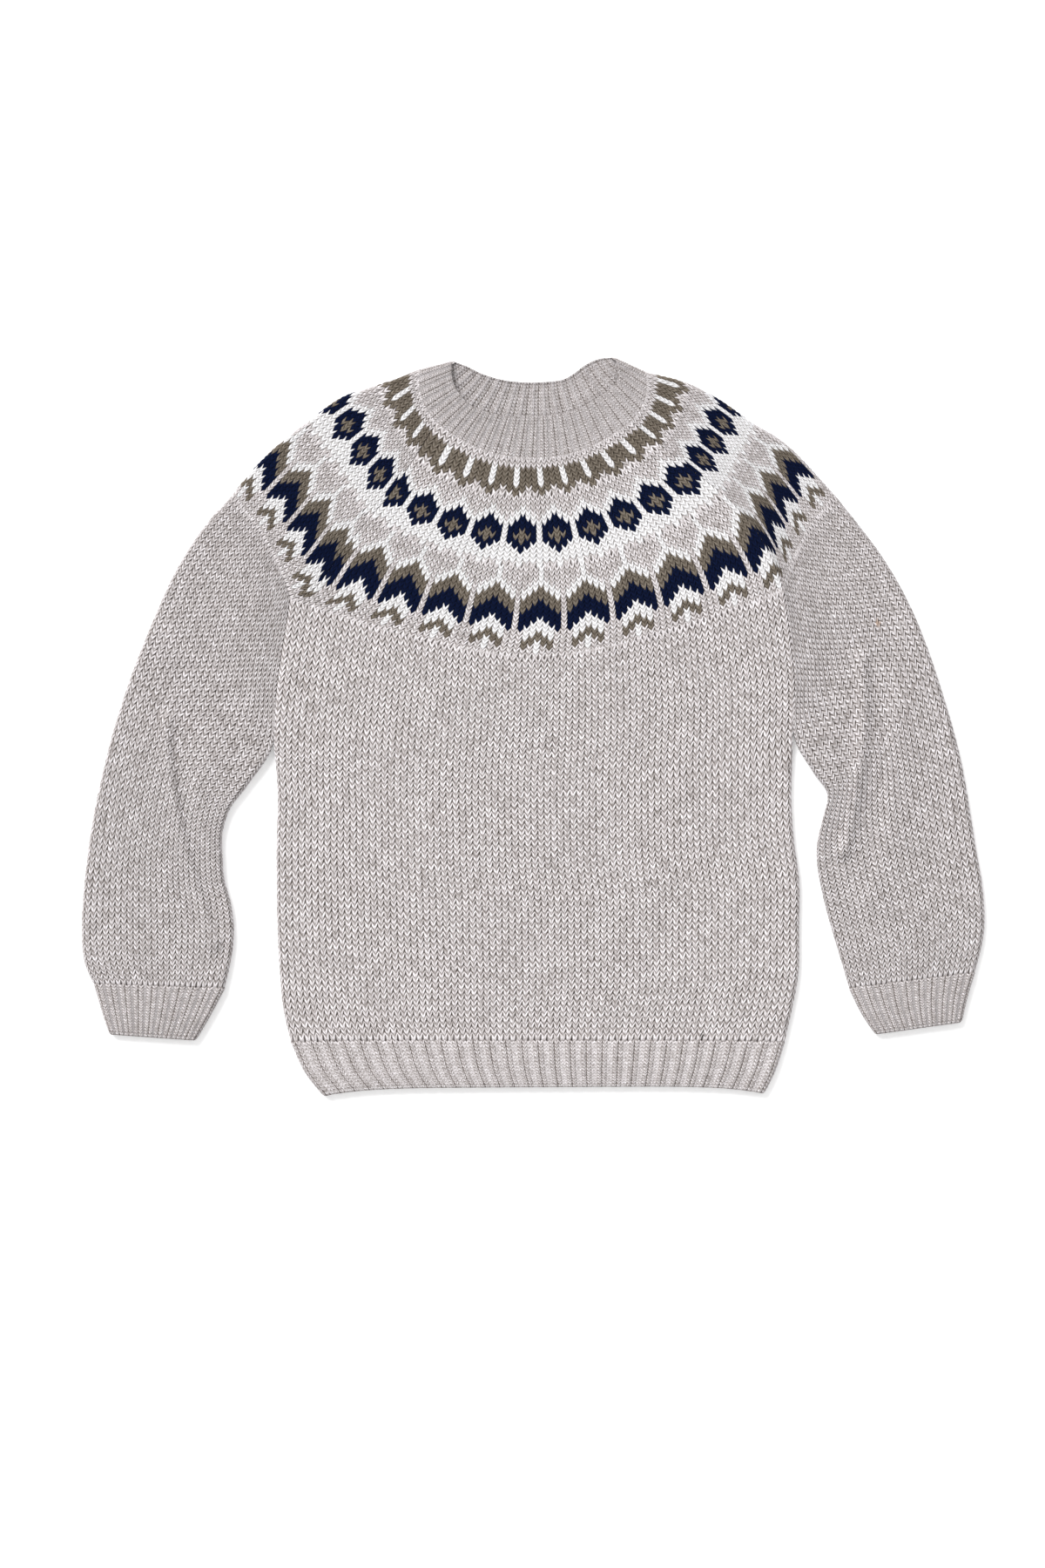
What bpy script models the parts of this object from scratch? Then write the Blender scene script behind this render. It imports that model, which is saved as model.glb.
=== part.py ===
"""A child's Fair Isle sweater, laid flat on its back with its front up.

All sizes are in millimetres until add_piece makes metres of them. The origin is on the surface that the
sweater lies on, under the middle of its outline. +X is the wearer's left, +Y runs from hem to neck, +Z is up.
Each piece is a knitted wall lofted through its rows. A row is a path in plan, from one edge of the piece to
the other, and where the piece turns over at a side the row rolls down from the upper to the lower layer.
"""

from collections import namedtuple

import bmesh
import bpy
import numpy as np

COLLECTION = "Fair Isle sweater"
MM = 0.001

# The cloth
WALL = 2.6  # a double knitting yarn in plain knit
SEAM = 0.3  # between two pieces that are sewn together
AIR = 1.6  # usual gap between the upper and the lower layer
LEAST_AIR, MOST_AIR = 0.7, 3.6
RIB_RISE = 0.8

# How finely the pieces are divided
ROLL_REACH = 5.6  # length of cloth at each edge that may roll over
ROLL_STEPS = 3
FRONT_STEPS, BACK_STEPS = 24, 12
SLEEVE_STEPS_UP, SLEEVE_STEPS_DOWN = 8, 5
PATH_STEPS = 40
SPLINE_STEPS = 8
FOLD_STEPS = 12
FULL_ROLL = 90.0  # degrees, over a fold or a closed side
RIB_PROFILE = ((0.0, 0.0), (0.22, 0.85), (0.5, 1.0), (0.78, 0.85))  # place in a rib, share of its rise
HEM_RIBS, CUFF_RIBS, NECK_RIBS_FRONT, NECK_RIBS_BACK = 31, 8, 27, 20
NECK_ROWS = 3
NECK_JOIN = 0.8  # where the strip's ends meet, along the back from the wearer's right shoulder

# Body rows from the hem seam to the yoke seam: both side points, how far the middle lies above the line
# between them, the power of that curve, and how far each side rolls over, in degrees
BodyRow = namedtuple("BodyRow", "right_x right_y left_x left_y rise power roll")
BODY = [
    BodyRow(-166.5, -217.8, 173.7, -217.8, 1.2, 5.0, 90),
    BodyRow(-171.9, -195.6, 178.8, -195.6, 0.0, 2.0, 90),
    BodyRow(-174.3, -171.6, 183.3, -171.6, 0.0, 2.0, 90),
    BodyRow(-176.1, -138.0, 183.9, -138.0, 0.0, 2.0, 90),
    BodyRow(-176.7, -105.0, 183.9, -105.0, 0.0, 2.0, 90),
    BodyRow(-176.7, -78.6, 180.3, -78.6, 0.0, 2.0, 90),
    BodyRow(-175.8, -48.6, 178.5, -48.6, 0.0, 2.0, 90),
    BodyRow(-177.3, -24.6, 179.1, -24.6, -2.0, 1.5, 85),
    BodyRow(-178.5, -14.4, 179.7, -8.4, -5.0, 1.5, 45),
    BodyRow(-176.1, 26.4, 180.3, 32.4, -16.0, 1.5, 0),
    BodyRow(-170.8, 62.0, 176.4, 68.0, -33.1, 1.5, 0),
    BodyRow(-167.0, 86.5, 173.2, 91.5, -43.5, 1.5, 0),
]
HEM = [
    BodyRow(-166.5, -217.8, 173.7, -217.8, 1.2, 5.0, 90),
    BodyRow(-156.9, -238.2, 167.4, -237.0, 2.4, 5.0, 90),
    BodyRow(-144.3, -254.4, 159.9, -252.6, 5.5, 6.0, 90),
]

# Sleeve rows from the yoke seam to the cuff seam: the outer fold, the inner edge, how far the row bows to
# the neck, and how far the inner edge rolls over. The first four inner edges lie on the body's armhole.
SleeveRow = namedtuple("SleeveRow", "outer_x outer_y inner_x inner_y bow roll")
SLEEVE_RIGHT = [
    SleeveRow(-208.5, 157.2, -167.0, 86.5, 5.0, 0),
    SleeveRow(-222.9, 141.6, -170.8, 62.0, 3.5, 0),
    SleeveRow(-243.9, 110.4, -176.1, 26.4, 2.0, 0),
    SleeveRow(-261.9, 71.4, -178.5, -14.4, 1.0, 45),
    SleeveRow(-276.9, 33.6, -195.9, -41.4, 0.0, 85),
    SleeveRow(-287.1, 2.4, -207.9, -57.6, 0.0, 90),
    SleeveRow(-294.3, -24.6, -212.7, -72.6, 0.0, 90),
    SleeveRow(-302.1, -60.6, -212.7, -90.6, 0.0, 90),
    SleeveRow(-306.3, -87.6, -211.5, -105.6, 0.0, 90),
    SleeveRow(-309.3, -114.6, -207.3, -120.6, 0.0, 90),
    SleeveRow(-310.5, -141.6, -204.9, -140.4, 0.0, 90),
    SleeveRow(-308.7, -161.4, -206.7, -159.6, 0.0, 90),
    SleeveRow(-302.1, -177.6, -211.5, -180.6, 0.0, 90),
]
CUFF_RIGHT = [
    SleeveRow(-302.1, -177.6, -211.5, -180.6, 0.0, 90),
    SleeveRow(-296.7, -195.6, -221.1, -198.6, 0.0, 90),
    SleeveRow(-291.3, -211.8, -231.3, -216.0, 0.0, 90),
]
SLEEVE_LEFT = [
    SleeveRow(210.3, 156.6, 173.2, 91.5, 5.0, 0),
    SleeveRow(224.1, 139.2, 176.4, 68.0, 3.5, 0),
    SleeveRow(240.3, 117.6, 180.3, 32.4, 2.0, 0),
    SleeveRow(258.3, 86.4, 179.7, -8.4, 1.0, 45),
    SleeveRow(271.5, 55.2, 192.9, -32.4, 0.0, 85),
    SleeveRow(281.7, 24.6, 202.5, -47.4, 0.0, 90),
    SleeveRow(288.9, 0.6, 199.5, -62.4, 0.0, 90),
    SleeveRow(295.5, -25.8, 195.3, -80.4, 0.0, 90),
    SleeveRow(300.3, -52.8, 195.3, -96.0, 0.0, 90),
    SleeveRow(304.5, -79.2, 198.3, -112.8, 0.0, 90),
    SleeveRow(309.9, -111.6, 203.7, -134.4, 0.0, 90),
    SleeveRow(310.8, -141.6, 210.9, -158.4, 0.0, 90),
    SleeveRow(304.5, -169.8, 217.5, -180.6, 0.0, 90),
]
CUFF_LEFT = [
    SleeveRow(304.5, -169.8, 217.5, -180.6, 0.0, 90),
    SleeveRow(299.1, -187.8, 225.9, -197.4, 0.0, 90),
    SleeveRow(295.5, -203.4, 235.5, -211.8, 0.0, 90),
]

# Yoke rows from the body to the neck. Each spoke is a fold over the shoulder or a raglan seam on the front.
# rise and power bow the row between the seams, and bow is the row's bow towards the neck over the shoulder.
YokeRow = namedtuple(
    "YokeRow",
    "knit_row fold_r_x fold_r_y seam_r_x seam_r_y seam_l_x seam_l_y fold_l_x fold_l_y rise power bow",
)
YOKE = [
    YokeRow(0, -208.5, 157.2, -167.0, 86.5, 173.2, 91.5, 210.3, 156.6, -43.5, 1.5, 5.0),
    YokeRow(6, -193.1, 176.2, -150.3, 94.2, 166.9, 110.6, 193.3, 175.4, -34.6, 1.5, 4.0),
    YokeRow(13, -171.9, 196.8, -131.9, 118.8, 152.0, 136.8, 172.1, 196.3, -34.8, 1.6, 3.0),
    YokeRow(19, -151.6, 212.5, -115.3, 139.2, 134.5, 156.4, 150.5, 209.6, -33.4, 1.8, 2.0),
    YokeRow(25, -130.5, 227.0, -98.2, 159.4, 113.7, 172.8, 129.8, 224.3, -30.3, 2.2, 0.0),
    YokeRow(31, -107.1, 234.8, -83.3, 181.2, 93.1, 189.1, 107.6, 236.0, -27.9, 2.3, -2.0),
    YokeRow(38, -78.9, 245.4, -66.9, 207.0, 69.3, 208.2, 78.9, 243.6, -25.2, 2.2, -5.0),
]
YOKE_KNIT_ROWS = 38
BACK_NECK_RIGHT, BACK_NECK_LEFT = (-69.9, 227.4), (69.9, 227.4)  # the raglan seams' ends on the back

# The neckband's free edge, from the wearer's right to the wearer's left
NeckPoint = namedtuple("NeckPoint", "x y")
NECK_EDGE_FRONT = [
    NeckPoint(-55.5, 251.4),
    NeckPoint(-55.2, 240.0),
    NeckPoint(-50.7, 229.2),
    NeckPoint(-39.9, 219.0),
    NeckPoint(-20.7, 213.9),
    NeckPoint(-0.3, 212.8),
    NeckPoint(18.9, 214.5),
    NeckPoint(31.5, 217.8),
    NeckPoint(42.3, 224.4),
    NeckPoint(53.1, 231.6),
    NeckPoint(58.5, 239.4),
    NeckPoint(56.7, 253.8),
]
NECK_EDGE_BACK = [
    NeckPoint(-55.5, 251.4),
    NeckPoint(-45.3, 247.8),
    NeckPoint(-33.3, 242.1),
    NeckPoint(-17.7, 237.9),
    NeckPoint(0.3, 236.7),
    NeckPoint(18.9, 238.2),
    NeckPoint(27.9, 242.4),
    NeckPoint(36.3, 248.7),
    NeckPoint(45.9, 252.9),
    NeckPoint(56.7, 253.8),
]

# Soft folds of the upper layer: where each starts, bends and ends, its half width, and how far it lifts the
# layer, which is below zero for a trough
Fold = namedtuple("Fold", "x0 y0 x1 y1 x2 y2 half_width lift")
FOLDS = [
    Fold(-172.0, 110.0, -176.0, 50.0, -178.5, -16.0, 9.0, -0.9),  # right armhole
    Fold(173.0, 118.0, 179.0, 55.0, 180.0, -10.0, 9.0, -0.9),  # left armhole
    Fold(-249.0, 0.0, -247.0, -70.0, -217.0, -154.0, 11.0, -0.9),  # right sleeve, elbow to cuff
    Fold(-228.0, -10.0, -228.0, -50.0, -224.0, -80.0, 12.0, 1.2),  # beside it
    Fold(222.0, 24.0, 233.0, -30.0, 210.0, -92.0, 11.0, -0.9),  # left sleeve, inside the elbow
    Fold(245.0, 10.0, 250.0, -45.0, 240.0, -110.0, 16.0, 1.2),  # beside it
    Fold(-262.0, 60.0, -225.0, 70.0, -196.0, 80.0, 18.0, 0.9),  # top of the right sleeve
    Fold(262.0, 70.0, 230.0, 75.0, 200.0, 84.0, 18.0, 0.9),  # top of the left sleeve
    Fold(-70.0, 235.0, 2.0, 196.0, 70.0, 235.0, 24.0, 1.5),  # the neckband stands up a little
    Fold(-120.0, -60.0, -40.0, -80.0, 30.0, -60.0, 60.0, 0.7),  # the body's middle
    Fold(-140.0, -200.0, 0.0, -204.0, 140.0, -200.0, 16.0, -0.4),  # the hem draws in
]

HEATHER = (0.57, 0.51, 0.48)
PIECE_ROUGHNESS = 0.95


class Path:
    """A line in plan that is read by distance along it."""

    def __init__(self, points):
        self.points = np.array(points, float)
        steps = np.linalg.norm(np.diff(self.points, axis=0), axis=1)
        self.marks = np.concatenate([[0.0], np.cumsum(steps)])
        self.length = float(self.marks[-1])

    def at(self, distance):
        x = np.interp(distance, self.marks, self.points[:, 0])
        y = np.interp(distance, self.marks, self.points[:, 1])
        return np.stack([x, y], axis=-1)


def bowed_path(start, end, rise, power):
    """A line from start to end whose middle lies rise above it."""
    share = np.linspace(0.0, 1.0, PATH_STEPS + 1)
    points = np.outer(1 - share, start) + np.outer(share, end)
    points[:, 1] += rise * (1 - np.abs(2 * share - 1) ** power)
    return Path(points)


def shoulder_path(inner, outer, bow):
    """A line from a seam to the outer fold, bowed towards the neck."""
    share = np.linspace(0.0, 1.0, PATH_STEPS + 1)
    points = np.outer(1 - share, inner) + np.outer(share, outer)
    along = np.subtract(outer, inner)
    side = 1.0 if outer[0] > 0 else -1.0
    normal = side * np.array([-along[1], along[0]]) / np.linalg.norm(along)
    return Path(points + np.outer(4 * bow * share * (1 - share), normal))


def smooth_path(points):
    """A curve through the points, as a Catmull-Rom spline."""
    p = np.array([points[0], *points, points[-1]], float)
    t = np.linspace(0.0, 1.0, SPLINE_STEPS, endpoint=False)[:, None]
    spans = []
    for a, b, c, d in zip(p, p[1:], p[2:], p[3:]):
        bend = (2 * a - 5 * b + 4 * c - d) * t**2 + (3 * b - a - 3 * c + d) * t**3
        spans.append(0.5 * (2 * b + (c - a) * t + bend))
    return Path(np.vstack([*spans, p[-1:]]))


def height(points):
    """Top of the upper layer above the surface, over points in plan."""
    air = np.full(len(points), AIR)
    t = np.linspace(0.0, 1.0, FOLD_STEPS + 1)[:, None]
    for f in FOLDS:
        line = (1 - t) ** 2 * (f.x0, f.y0) + 2 * t * (1 - t) * (f.x1, f.y1) + t**2 * (f.x2, f.y2)
        away = distance_to_line(points, line)
        air += f.lift * np.exp(-((away / f.half_width) ** 2))
    return 2 * WALL + np.clip(air, LEAST_AIR, MOST_AIR)


def distance_to_line(points, line):
    nearest = np.full(len(points), np.inf)
    for a, b in zip(line, line[1:]):
        along = b - a
        share = np.clip((points - a) @ along / (along @ along), 0.0, 1.0)
        nearest = np.minimum(nearest, np.linalg.norm(points - a - np.outer(share, along), axis=1))
    return nearest


class Layer:
    """One layer of cloth along a path, which may roll over at both ends."""

    def __init__(self, path, upper, roll_start=0.0, roll_end=0.0):
        self.path, self.upper = path, upper
        self.radius = height(path.at(np.array([0.0, path.length]))) / 2
        self.angle = np.radians([roll_start, roll_end])
        self.plan = self.radius * np.sin(self.angle)
        self.arc = self.radius * self.angle
        self.flat = path.length - self.plan.sum()
        self.length = self.arc.sum() + self.flat

    def at(self, along):
        """The outer and the inner points at distances along the cloth."""
        return self.surface(along, 0.0), self.surface(along, WALL)

    def surface(self, along, depth):
        """Points at distances along the cloth and at depths below its outer face."""
        depth = np.broadcast_to(depth, along.shape)
        start, end = self.arc[0], self.length - self.arc[1]
        place = self.plan[0] + np.clip(along, start, end) - start
        top = height(self.path.at(place))
        ends = height(self.path.at(np.array([self.plan[0], self.path.length - self.plan[1]])))
        fade = np.exp(-np.stack([place - self.plan[0], self.path.length - self.plan[1] - place]) / ROLL_REACH)
        top += ((2 * self.radius - ends)[:, None] * fade).sum(axis=0)
        z = top - depth if self.upper else depth.astype(float)
        for i, turned in ((0, start - along), (1, along - end)):
            on = turned > 1e-9
            turn = turned[on] / self.radius[i]
            r = self.radius[i] - depth[on]
            place[on] += (2 * i - 1) * r * np.sin(turn)
            z[on] = self.radius[i] + (1 if self.upper else -1) * r * np.cos(turn)
        return np.column_stack([self.path.at(place), z])


def divided(layer, steps):
    """Distances along a layer, closer together where it may roll over."""
    edge = np.linspace(0.0, ROLL_REACH, ROLL_STEPS + 1)
    middle = np.linspace(ROLL_REACH, layer.length - ROLL_REACH, steps + 1)
    return np.concatenate([edge[:-1], middle, layer.length - edge[-2::-1]])


def ribbed(layer, ribs):
    """Distances along a layer at the points of its ribs, and how far each point is raised."""
    share = np.array([(i + place) / ribs for i in range(ribs) for place, _ in RIB_PROFILE] + [1.0])
    rise = np.array([high for _ in range(ribs) for _, high in RIB_PROFILE] + [0.0])
    along = share * layer.length
    if not layer.upper:
        into_roll = np.minimum(along - layer.arc[0], layer.length - layer.arc[1] - along)
        rise = rise * np.clip(into_roll / ROLL_REACH, 0.0, 1.0)
    return along, RIB_RISE * rise


def body_layer(row, upper):
    path = bowed_path((row.right_x, row.right_y), (row.left_x, row.left_y), row.rise, row.power)
    return Layer(path, upper, row.roll, row.roll)


def sleeve_layers(row):
    path = shoulder_path((row.inner_x, row.inner_y), (row.outer_x, row.outer_y), row.bow)
    return Layer(path, True, row.roll, FULL_ROLL), Layer(path, False, row.roll, FULL_ROLL)


def back_seam(row, side):
    """A raglan seam's point on the back, which runs straight from the armhole to its end at the neck."""
    share = row.knit_row / YOKE_KNIT_ROWS
    foot = (YOKE[0].seam_r_x, YOKE[0].seam_r_y) if side < 0 else (YOKE[0].seam_l_x, YOKE[0].seam_l_y)
    neck = BACK_NECK_RIGHT if side < 0 else BACK_NECK_LEFT
    return tuple((1 - share) * np.array(foot) + share * np.array(neck))


def yoke_path(row, upper):
    if upper:
        return bowed_path((row.seam_r_x, row.seam_r_y), (row.seam_l_x, row.seam_l_y), row.rise, row.power)
    return bowed_path(back_seam(row, -1), back_seam(row, 1), row.rise, row.power)


def shoulder_paths(row, side):
    """The upper and the lower path from the raglan seams to the fold over the shoulder."""
    if side < 0:
        fold, seam = (row.fold_r_x, row.fold_r_y), (row.seam_r_x, row.seam_r_y)
    else:
        fold, seam = (row.fold_l_x, row.fold_l_y), (row.seam_l_x, row.seam_l_y)
    return shoulder_path(seam, fold, row.bow), shoulder_path(back_seam(row, side), fold, row.bow)


def wrapped(layers, steps_up, steps_down):
    """A row that runs out on the upper layer, over the fold and back on the lower one."""
    up, down = layers
    outer_up, inner_up = up.at(divided(up, steps_up))
    outer_down, inner_down = down.at(divided(down, steps_down)[-2::-1])
    return np.vstack([outer_up, outer_down]), np.vstack([inner_up, inner_down])


def ribbed_wrapped(layers, ribs, steps_down):
    """As wrapped, with ribs raised on the upper layer."""
    up, down = layers
    along, rise = ribbed(up, ribs)
    outer_down, inner_down = down.at(divided(down, steps_down)[-2::-1])
    return np.vstack([up.surface(along, -rise), outer_down]), np.vstack([up.surface(along, WALL), inner_down])


def neck_path(share, upper):
    """The neckband's path at a share of its width, from the yoke seam to its free edge."""
    top = YOKE[-1]
    over_right = shoulder_paths(top, -1)[0 if upper else 1].points
    over_left = shoulder_paths(top, 1)[0 if upper else 1].points
    seam = Path(np.vstack([over_right[::-1], yoke_path(top, upper).points[1:], over_left[1:]]))
    edge = smooth_path(NECK_EDGE_FRONT if upper else NECK_EDGE_BACK)
    places = np.linspace(0.0, 1.0, 4 * PATH_STEPS + 1)
    return Path((1 - share) * seam.at(places * seam.length) + share * edge.at(places * edge.length))


def neckband_row(share):
    """Once round the neck from the join on the back, over the wearer's right shoulder and the front."""
    front = Layer(neck_path(share, True), True, FULL_ROLL, FULL_ROLL)
    back = Layer(neck_path(share, False), False, FULL_ROLL, FULL_ROLL)
    along, rise = ribbed(front, NECK_RIBS_FRONT)
    outer_front, inner_front = front.surface(along, -rise), front.surface(along, WALL)
    along, rise = ribbed(back, NECK_RIBS_BACK)
    outer_back, inner_back = back.surface(along, 0.0), back.surface(along, WALL + rise)
    join = round(NECK_JOIN * NECK_RIBS_BACK) * len(RIB_PROFILE)
    outer = np.vstack([outer_back[join:0:-1], outer_front, outer_back[-2 : join - 1 : -1]])
    inner = np.vstack([inner_back[join:0:-1], inner_front, inner_back[-2 : join - 1 : -1]])
    return outer, inner


def open_seam(outer, inner, edge, beside):
    """Draws an edge back by half a seam's width. edge and beside index it and the line next to it."""
    middle = (outer + inner) / 2
    step = middle[beside] - middle[edge]
    step /= np.linalg.norm(step, axis=1)[:, None]
    seam = np.gradient(middle[edge], axis=0)
    seam /= np.linalg.norm(seam, axis=1)[:, None]
    across = step - (step * seam).sum(axis=1)[:, None] * seam
    move = step * (SEAM / 2 / np.linalg.norm(across, axis=1))[:, None]
    outer[edge] += move
    inner[edge] += move


EVERY = slice(None)
EDGES = {
    "bottom": ((0, EVERY), (1, EVERY)),
    "top": ((-1, EVERY), (-2, EVERY)),
    "start": ((EVERY, 0), (EVERY, 1)),
    "end": ((EVERY, -1), (EVERY, -2)),
}
ALL_ROUND = ("bottom", "top", "start", "end")
ALL_BUT_TOP = ("bottom", "start", "end")  # the last row is a free edge


def add_piece(name, rows, seams, material):
    """A closed wall through rows of outer and inner points, with a gap left at each seam."""
    outer = np.array([row[0] for row in rows])
    inner = np.array([row[1] for row in rows])
    for seam in seams:
        open_seam(outer, inner, *EDGES[seam])
    count_rows, count_columns = outer.shape[:2]
    mesh = bmesh.new()
    layers = [[[mesh.verts.new(point * MM) for point in row] for row in layer] for layer in (outer, inner)]
    for layer in layers:
        for i in range(count_rows - 1):
            for j in range(count_columns - 1):
                mesh.faces.new((layer[i][j], layer[i][j + 1], layer[i + 1][j + 1], layer[i + 1][j]))
    rim = [(0, j) for j in range(count_columns)]
    rim += [(i, count_columns - 1) for i in range(1, count_rows)]
    rim += [(count_rows - 1, j) for j in range(count_columns - 2, -1, -1)]
    rim += [(i, 0) for i in range(count_rows - 2, 0, -1)]
    for (i, j), (k, m) in zip(rim, rim[1:] + rim[:1]):
        mesh.faces.new((layers[0][i][j], layers[0][k][m], layers[1][k][m], layers[1][i][j]))
    bmesh.ops.recalc_face_normals(mesh, faces=mesh.faces)
    bmesh.ops.triangulate(mesh, faces=mesh.faces)
    data = bpy.data.meshes.new(name)
    mesh.to_mesh(data)
    mesh.free()
    data.materials.append(material)
    bpy.data.collections[COLLECTION].objects.link(bpy.data.objects.new(name, data))


def wool(name, colour):
    material = bpy.data.materials.new(name)
    material.use_nodes = True
    shader = material.node_tree.nodes["Principled BSDF"]
    shader.inputs["Base Color"].default_value = (*colour, 1.0)
    shader.inputs["Roughness"].default_value = PIECE_ROUGHNESS
    shader.inputs["Metallic"].default_value = 0.0
    return material


def add_body():
    for side, upper, steps in (("front", True, FRONT_STEPS), ("back", False, BACK_STEPS)):
        layers = [body_layer(row, upper) for row in BODY]
        rows = [layer.at(divided(layer, steps)) for layer in layers]
        add_piece(side, rows, ALL_ROUND, wool(f"{side} plain knit", HEATHER))


def add_hem():
    front, back = ([body_layer(row, upper) for row in HEM] for upper in (True, False))
    rows = []
    for layer in front:
        along, rise = ribbed(layer, HEM_RIBS)
        rows.append((layer.surface(along, -rise), layer.surface(along, WALL)))
    add_piece("hem_rib_front", rows, ALL_BUT_TOP, wool("hem front rib", HEATHER))
    rows = [layer.at(divided(layer, BACK_STEPS)) for layer in back]
    add_piece("hem_rib_back", rows, ALL_BUT_TOP, wool("hem back rib", HEATHER))


def add_sleeve(side, sleeve, cuff):
    rows = [wrapped(sleeve_layers(row), SLEEVE_STEPS_UP, SLEEVE_STEPS_DOWN) for row in sleeve]
    add_piece(f"sleeve_{side}", rows, ALL_ROUND, wool(f"{side} sleeve plain knit", HEATHER))
    rows = [ribbed_wrapped(sleeve_layers(row), CUFF_RIBS, SLEEVE_STEPS_DOWN) for row in cuff]
    add_piece(f"cuff_{side}", rows, ALL_BUT_TOP, wool(f"{side} cuff rib", HEATHER))


def add_yoke():
    for side, upper, steps in (("front", True, FRONT_STEPS), ("back", False, BACK_STEPS)):
        layers = [Layer(yoke_path(row, upper), upper) for row in YOKE]
        rows = [layer.at(divided(layer, steps)) for layer in layers]
        add_piece(f"yoke_{side}", rows, ALL_ROUND, wool(f"yoke {side} pattern knit", HEATHER))
    for side, sign in (("right", -1), ("left", 1)):
        rows = []
        for row in YOKE:
            up, down = shoulder_paths(row, sign)
            layers = Layer(up, True, 0.0, FULL_ROLL), Layer(down, False, 0.0, FULL_ROLL)
            rows.append(wrapped(layers, SLEEVE_STEPS_UP, SLEEVE_STEPS_DOWN))
        add_piece(f"yoke_shoulder_{side}", rows, ALL_ROUND, wool(f"{side} shoulder pattern knit", HEATHER))


def add_neckband():
    rows = [neckband_row(share) for share in np.linspace(0.0, 1.0, NECK_ROWS)]
    add_piece("neckband", rows, ALL_BUT_TOP, wool("neckband rib", HEATHER))


def main():
    for thing in list(bpy.data.objects):
        bpy.data.objects.remove(thing)
    collection = bpy.data.collections.new(COLLECTION)
    bpy.context.scene.collection.children.link(collection)
    add_body()
    add_hem()
    add_sleeve("right", SLEEVE_RIGHT, CUFF_RIGHT)
    add_sleeve("left", SLEEVE_LEFT, CUFF_LEFT)
    add_yoke()
    add_neckband()


main()
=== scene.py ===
"""The looks of a child's Fair Isle sweater, knitted stitch by stitch over the fixed frame of its solids.

Sizes are in millimetres until a mesh is made, in the frame's own axes: +X is the wearer's left, +Y runs from
hem to neck, and +Z is up from the surface that the sweater lies on.
"""

from collections import namedtuple

import bpy
import numpy as np
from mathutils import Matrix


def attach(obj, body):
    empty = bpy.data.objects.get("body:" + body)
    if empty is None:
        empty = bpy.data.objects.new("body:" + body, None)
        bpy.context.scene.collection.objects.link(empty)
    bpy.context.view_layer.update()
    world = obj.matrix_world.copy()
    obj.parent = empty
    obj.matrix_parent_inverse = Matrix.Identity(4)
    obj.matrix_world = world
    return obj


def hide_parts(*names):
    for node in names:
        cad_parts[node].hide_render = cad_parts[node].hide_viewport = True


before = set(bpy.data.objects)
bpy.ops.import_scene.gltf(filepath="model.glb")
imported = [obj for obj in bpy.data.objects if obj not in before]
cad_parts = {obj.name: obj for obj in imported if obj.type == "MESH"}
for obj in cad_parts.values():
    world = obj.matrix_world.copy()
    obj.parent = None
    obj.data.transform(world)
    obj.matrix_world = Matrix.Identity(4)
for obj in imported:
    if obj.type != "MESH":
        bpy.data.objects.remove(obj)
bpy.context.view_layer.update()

bl_info = {
    "name": "Fair Isle Sweater",
    "version": (1, 0, 0),
    "blender": (4, 5, 0),
    "location": "View3D > Sidebar > Sweater",
    "description": "Knits a Fair Isle sweater that lies flat, every stitch as geometry",
    "category": "Add Mesh",
}

MM = 0.001

# The cloth, as the solids have it
WALL = 2.6  # thickness of one layer
AIR = 1.6  # between two layers, where no fold lifts the upper one
LEAST_AIR, MOST_AIR = 0.7, 6.0  # the solids stop at 3.6, under the highest folds
ROLL_REACH = 5.6  # how far in from a rolled edge its height is felt
FULL_ROLL = 90.0
NECK_JOIN = 0.8  # where the neckband's ends meet, as a share of the back from the wearer's right
PATH_STEPS, SPLINE_STEPS, FOLD_STEPS = 40, 8, 12

# Body rows from the hem seam to the yoke seam: both side points, how far the middle lies above the line
# between them, the power of that curve, and how far each side rolls over, in degrees. The sides are the
# solids' own, and the curves between them spread the rows of stitches evenly.
BodyRow = namedtuple("BodyRow", "right_x right_y left_x left_y rise power roll")
BODY = [
    BodyRow(-166.5, -217.8, 173.7, -217.8, 1.2, 5.0, 90),
    BodyRow(-171.9, -195.6, 178.8, -195.6, -1.6, 2.0, 90),
    BodyRow(-174.3, -171.6, 183.3, -171.6, -4.6, 2.0, 90),
    BodyRow(-176.1, -138.0, 183.9, -138.0, -9.2, 2.0, 90),
    BodyRow(-176.7, -105.0, 183.9, -105.0, -13.8, 2.0, 90),
    BodyRow(-176.7, -78.6, 180.3, -78.6, -17.6, 2.0, 90),
    BodyRow(-175.8, -48.6, 178.5, -48.6, -22.0, 2.0, 90),
    BodyRow(-177.3, -24.6, 179.1, -24.6, -25.6, 1.8, 85),
    BodyRow(-178.5, -14.4, 179.7, -8.4, -27.6, 1.7, 45),
    BodyRow(-176.1, 26.4, 180.3, 32.4, -34.0, 1.6, 0),
    BodyRow(-170.8, 62.0, 176.4, 68.0, -40.0, 1.5, 0),
    BodyRow(-167.0, 86.5, 173.2, 91.5, -43.5, 1.5, 0),
]
HEM = [
    BODY[0],
    BodyRow(-156.9, -238.2, 167.4, -237.0, 2.4, 5.0, 90),
    BodyRow(-144.3, -254.4, 159.9, -252.6, 5.5, 6.0, 90),
]

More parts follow.
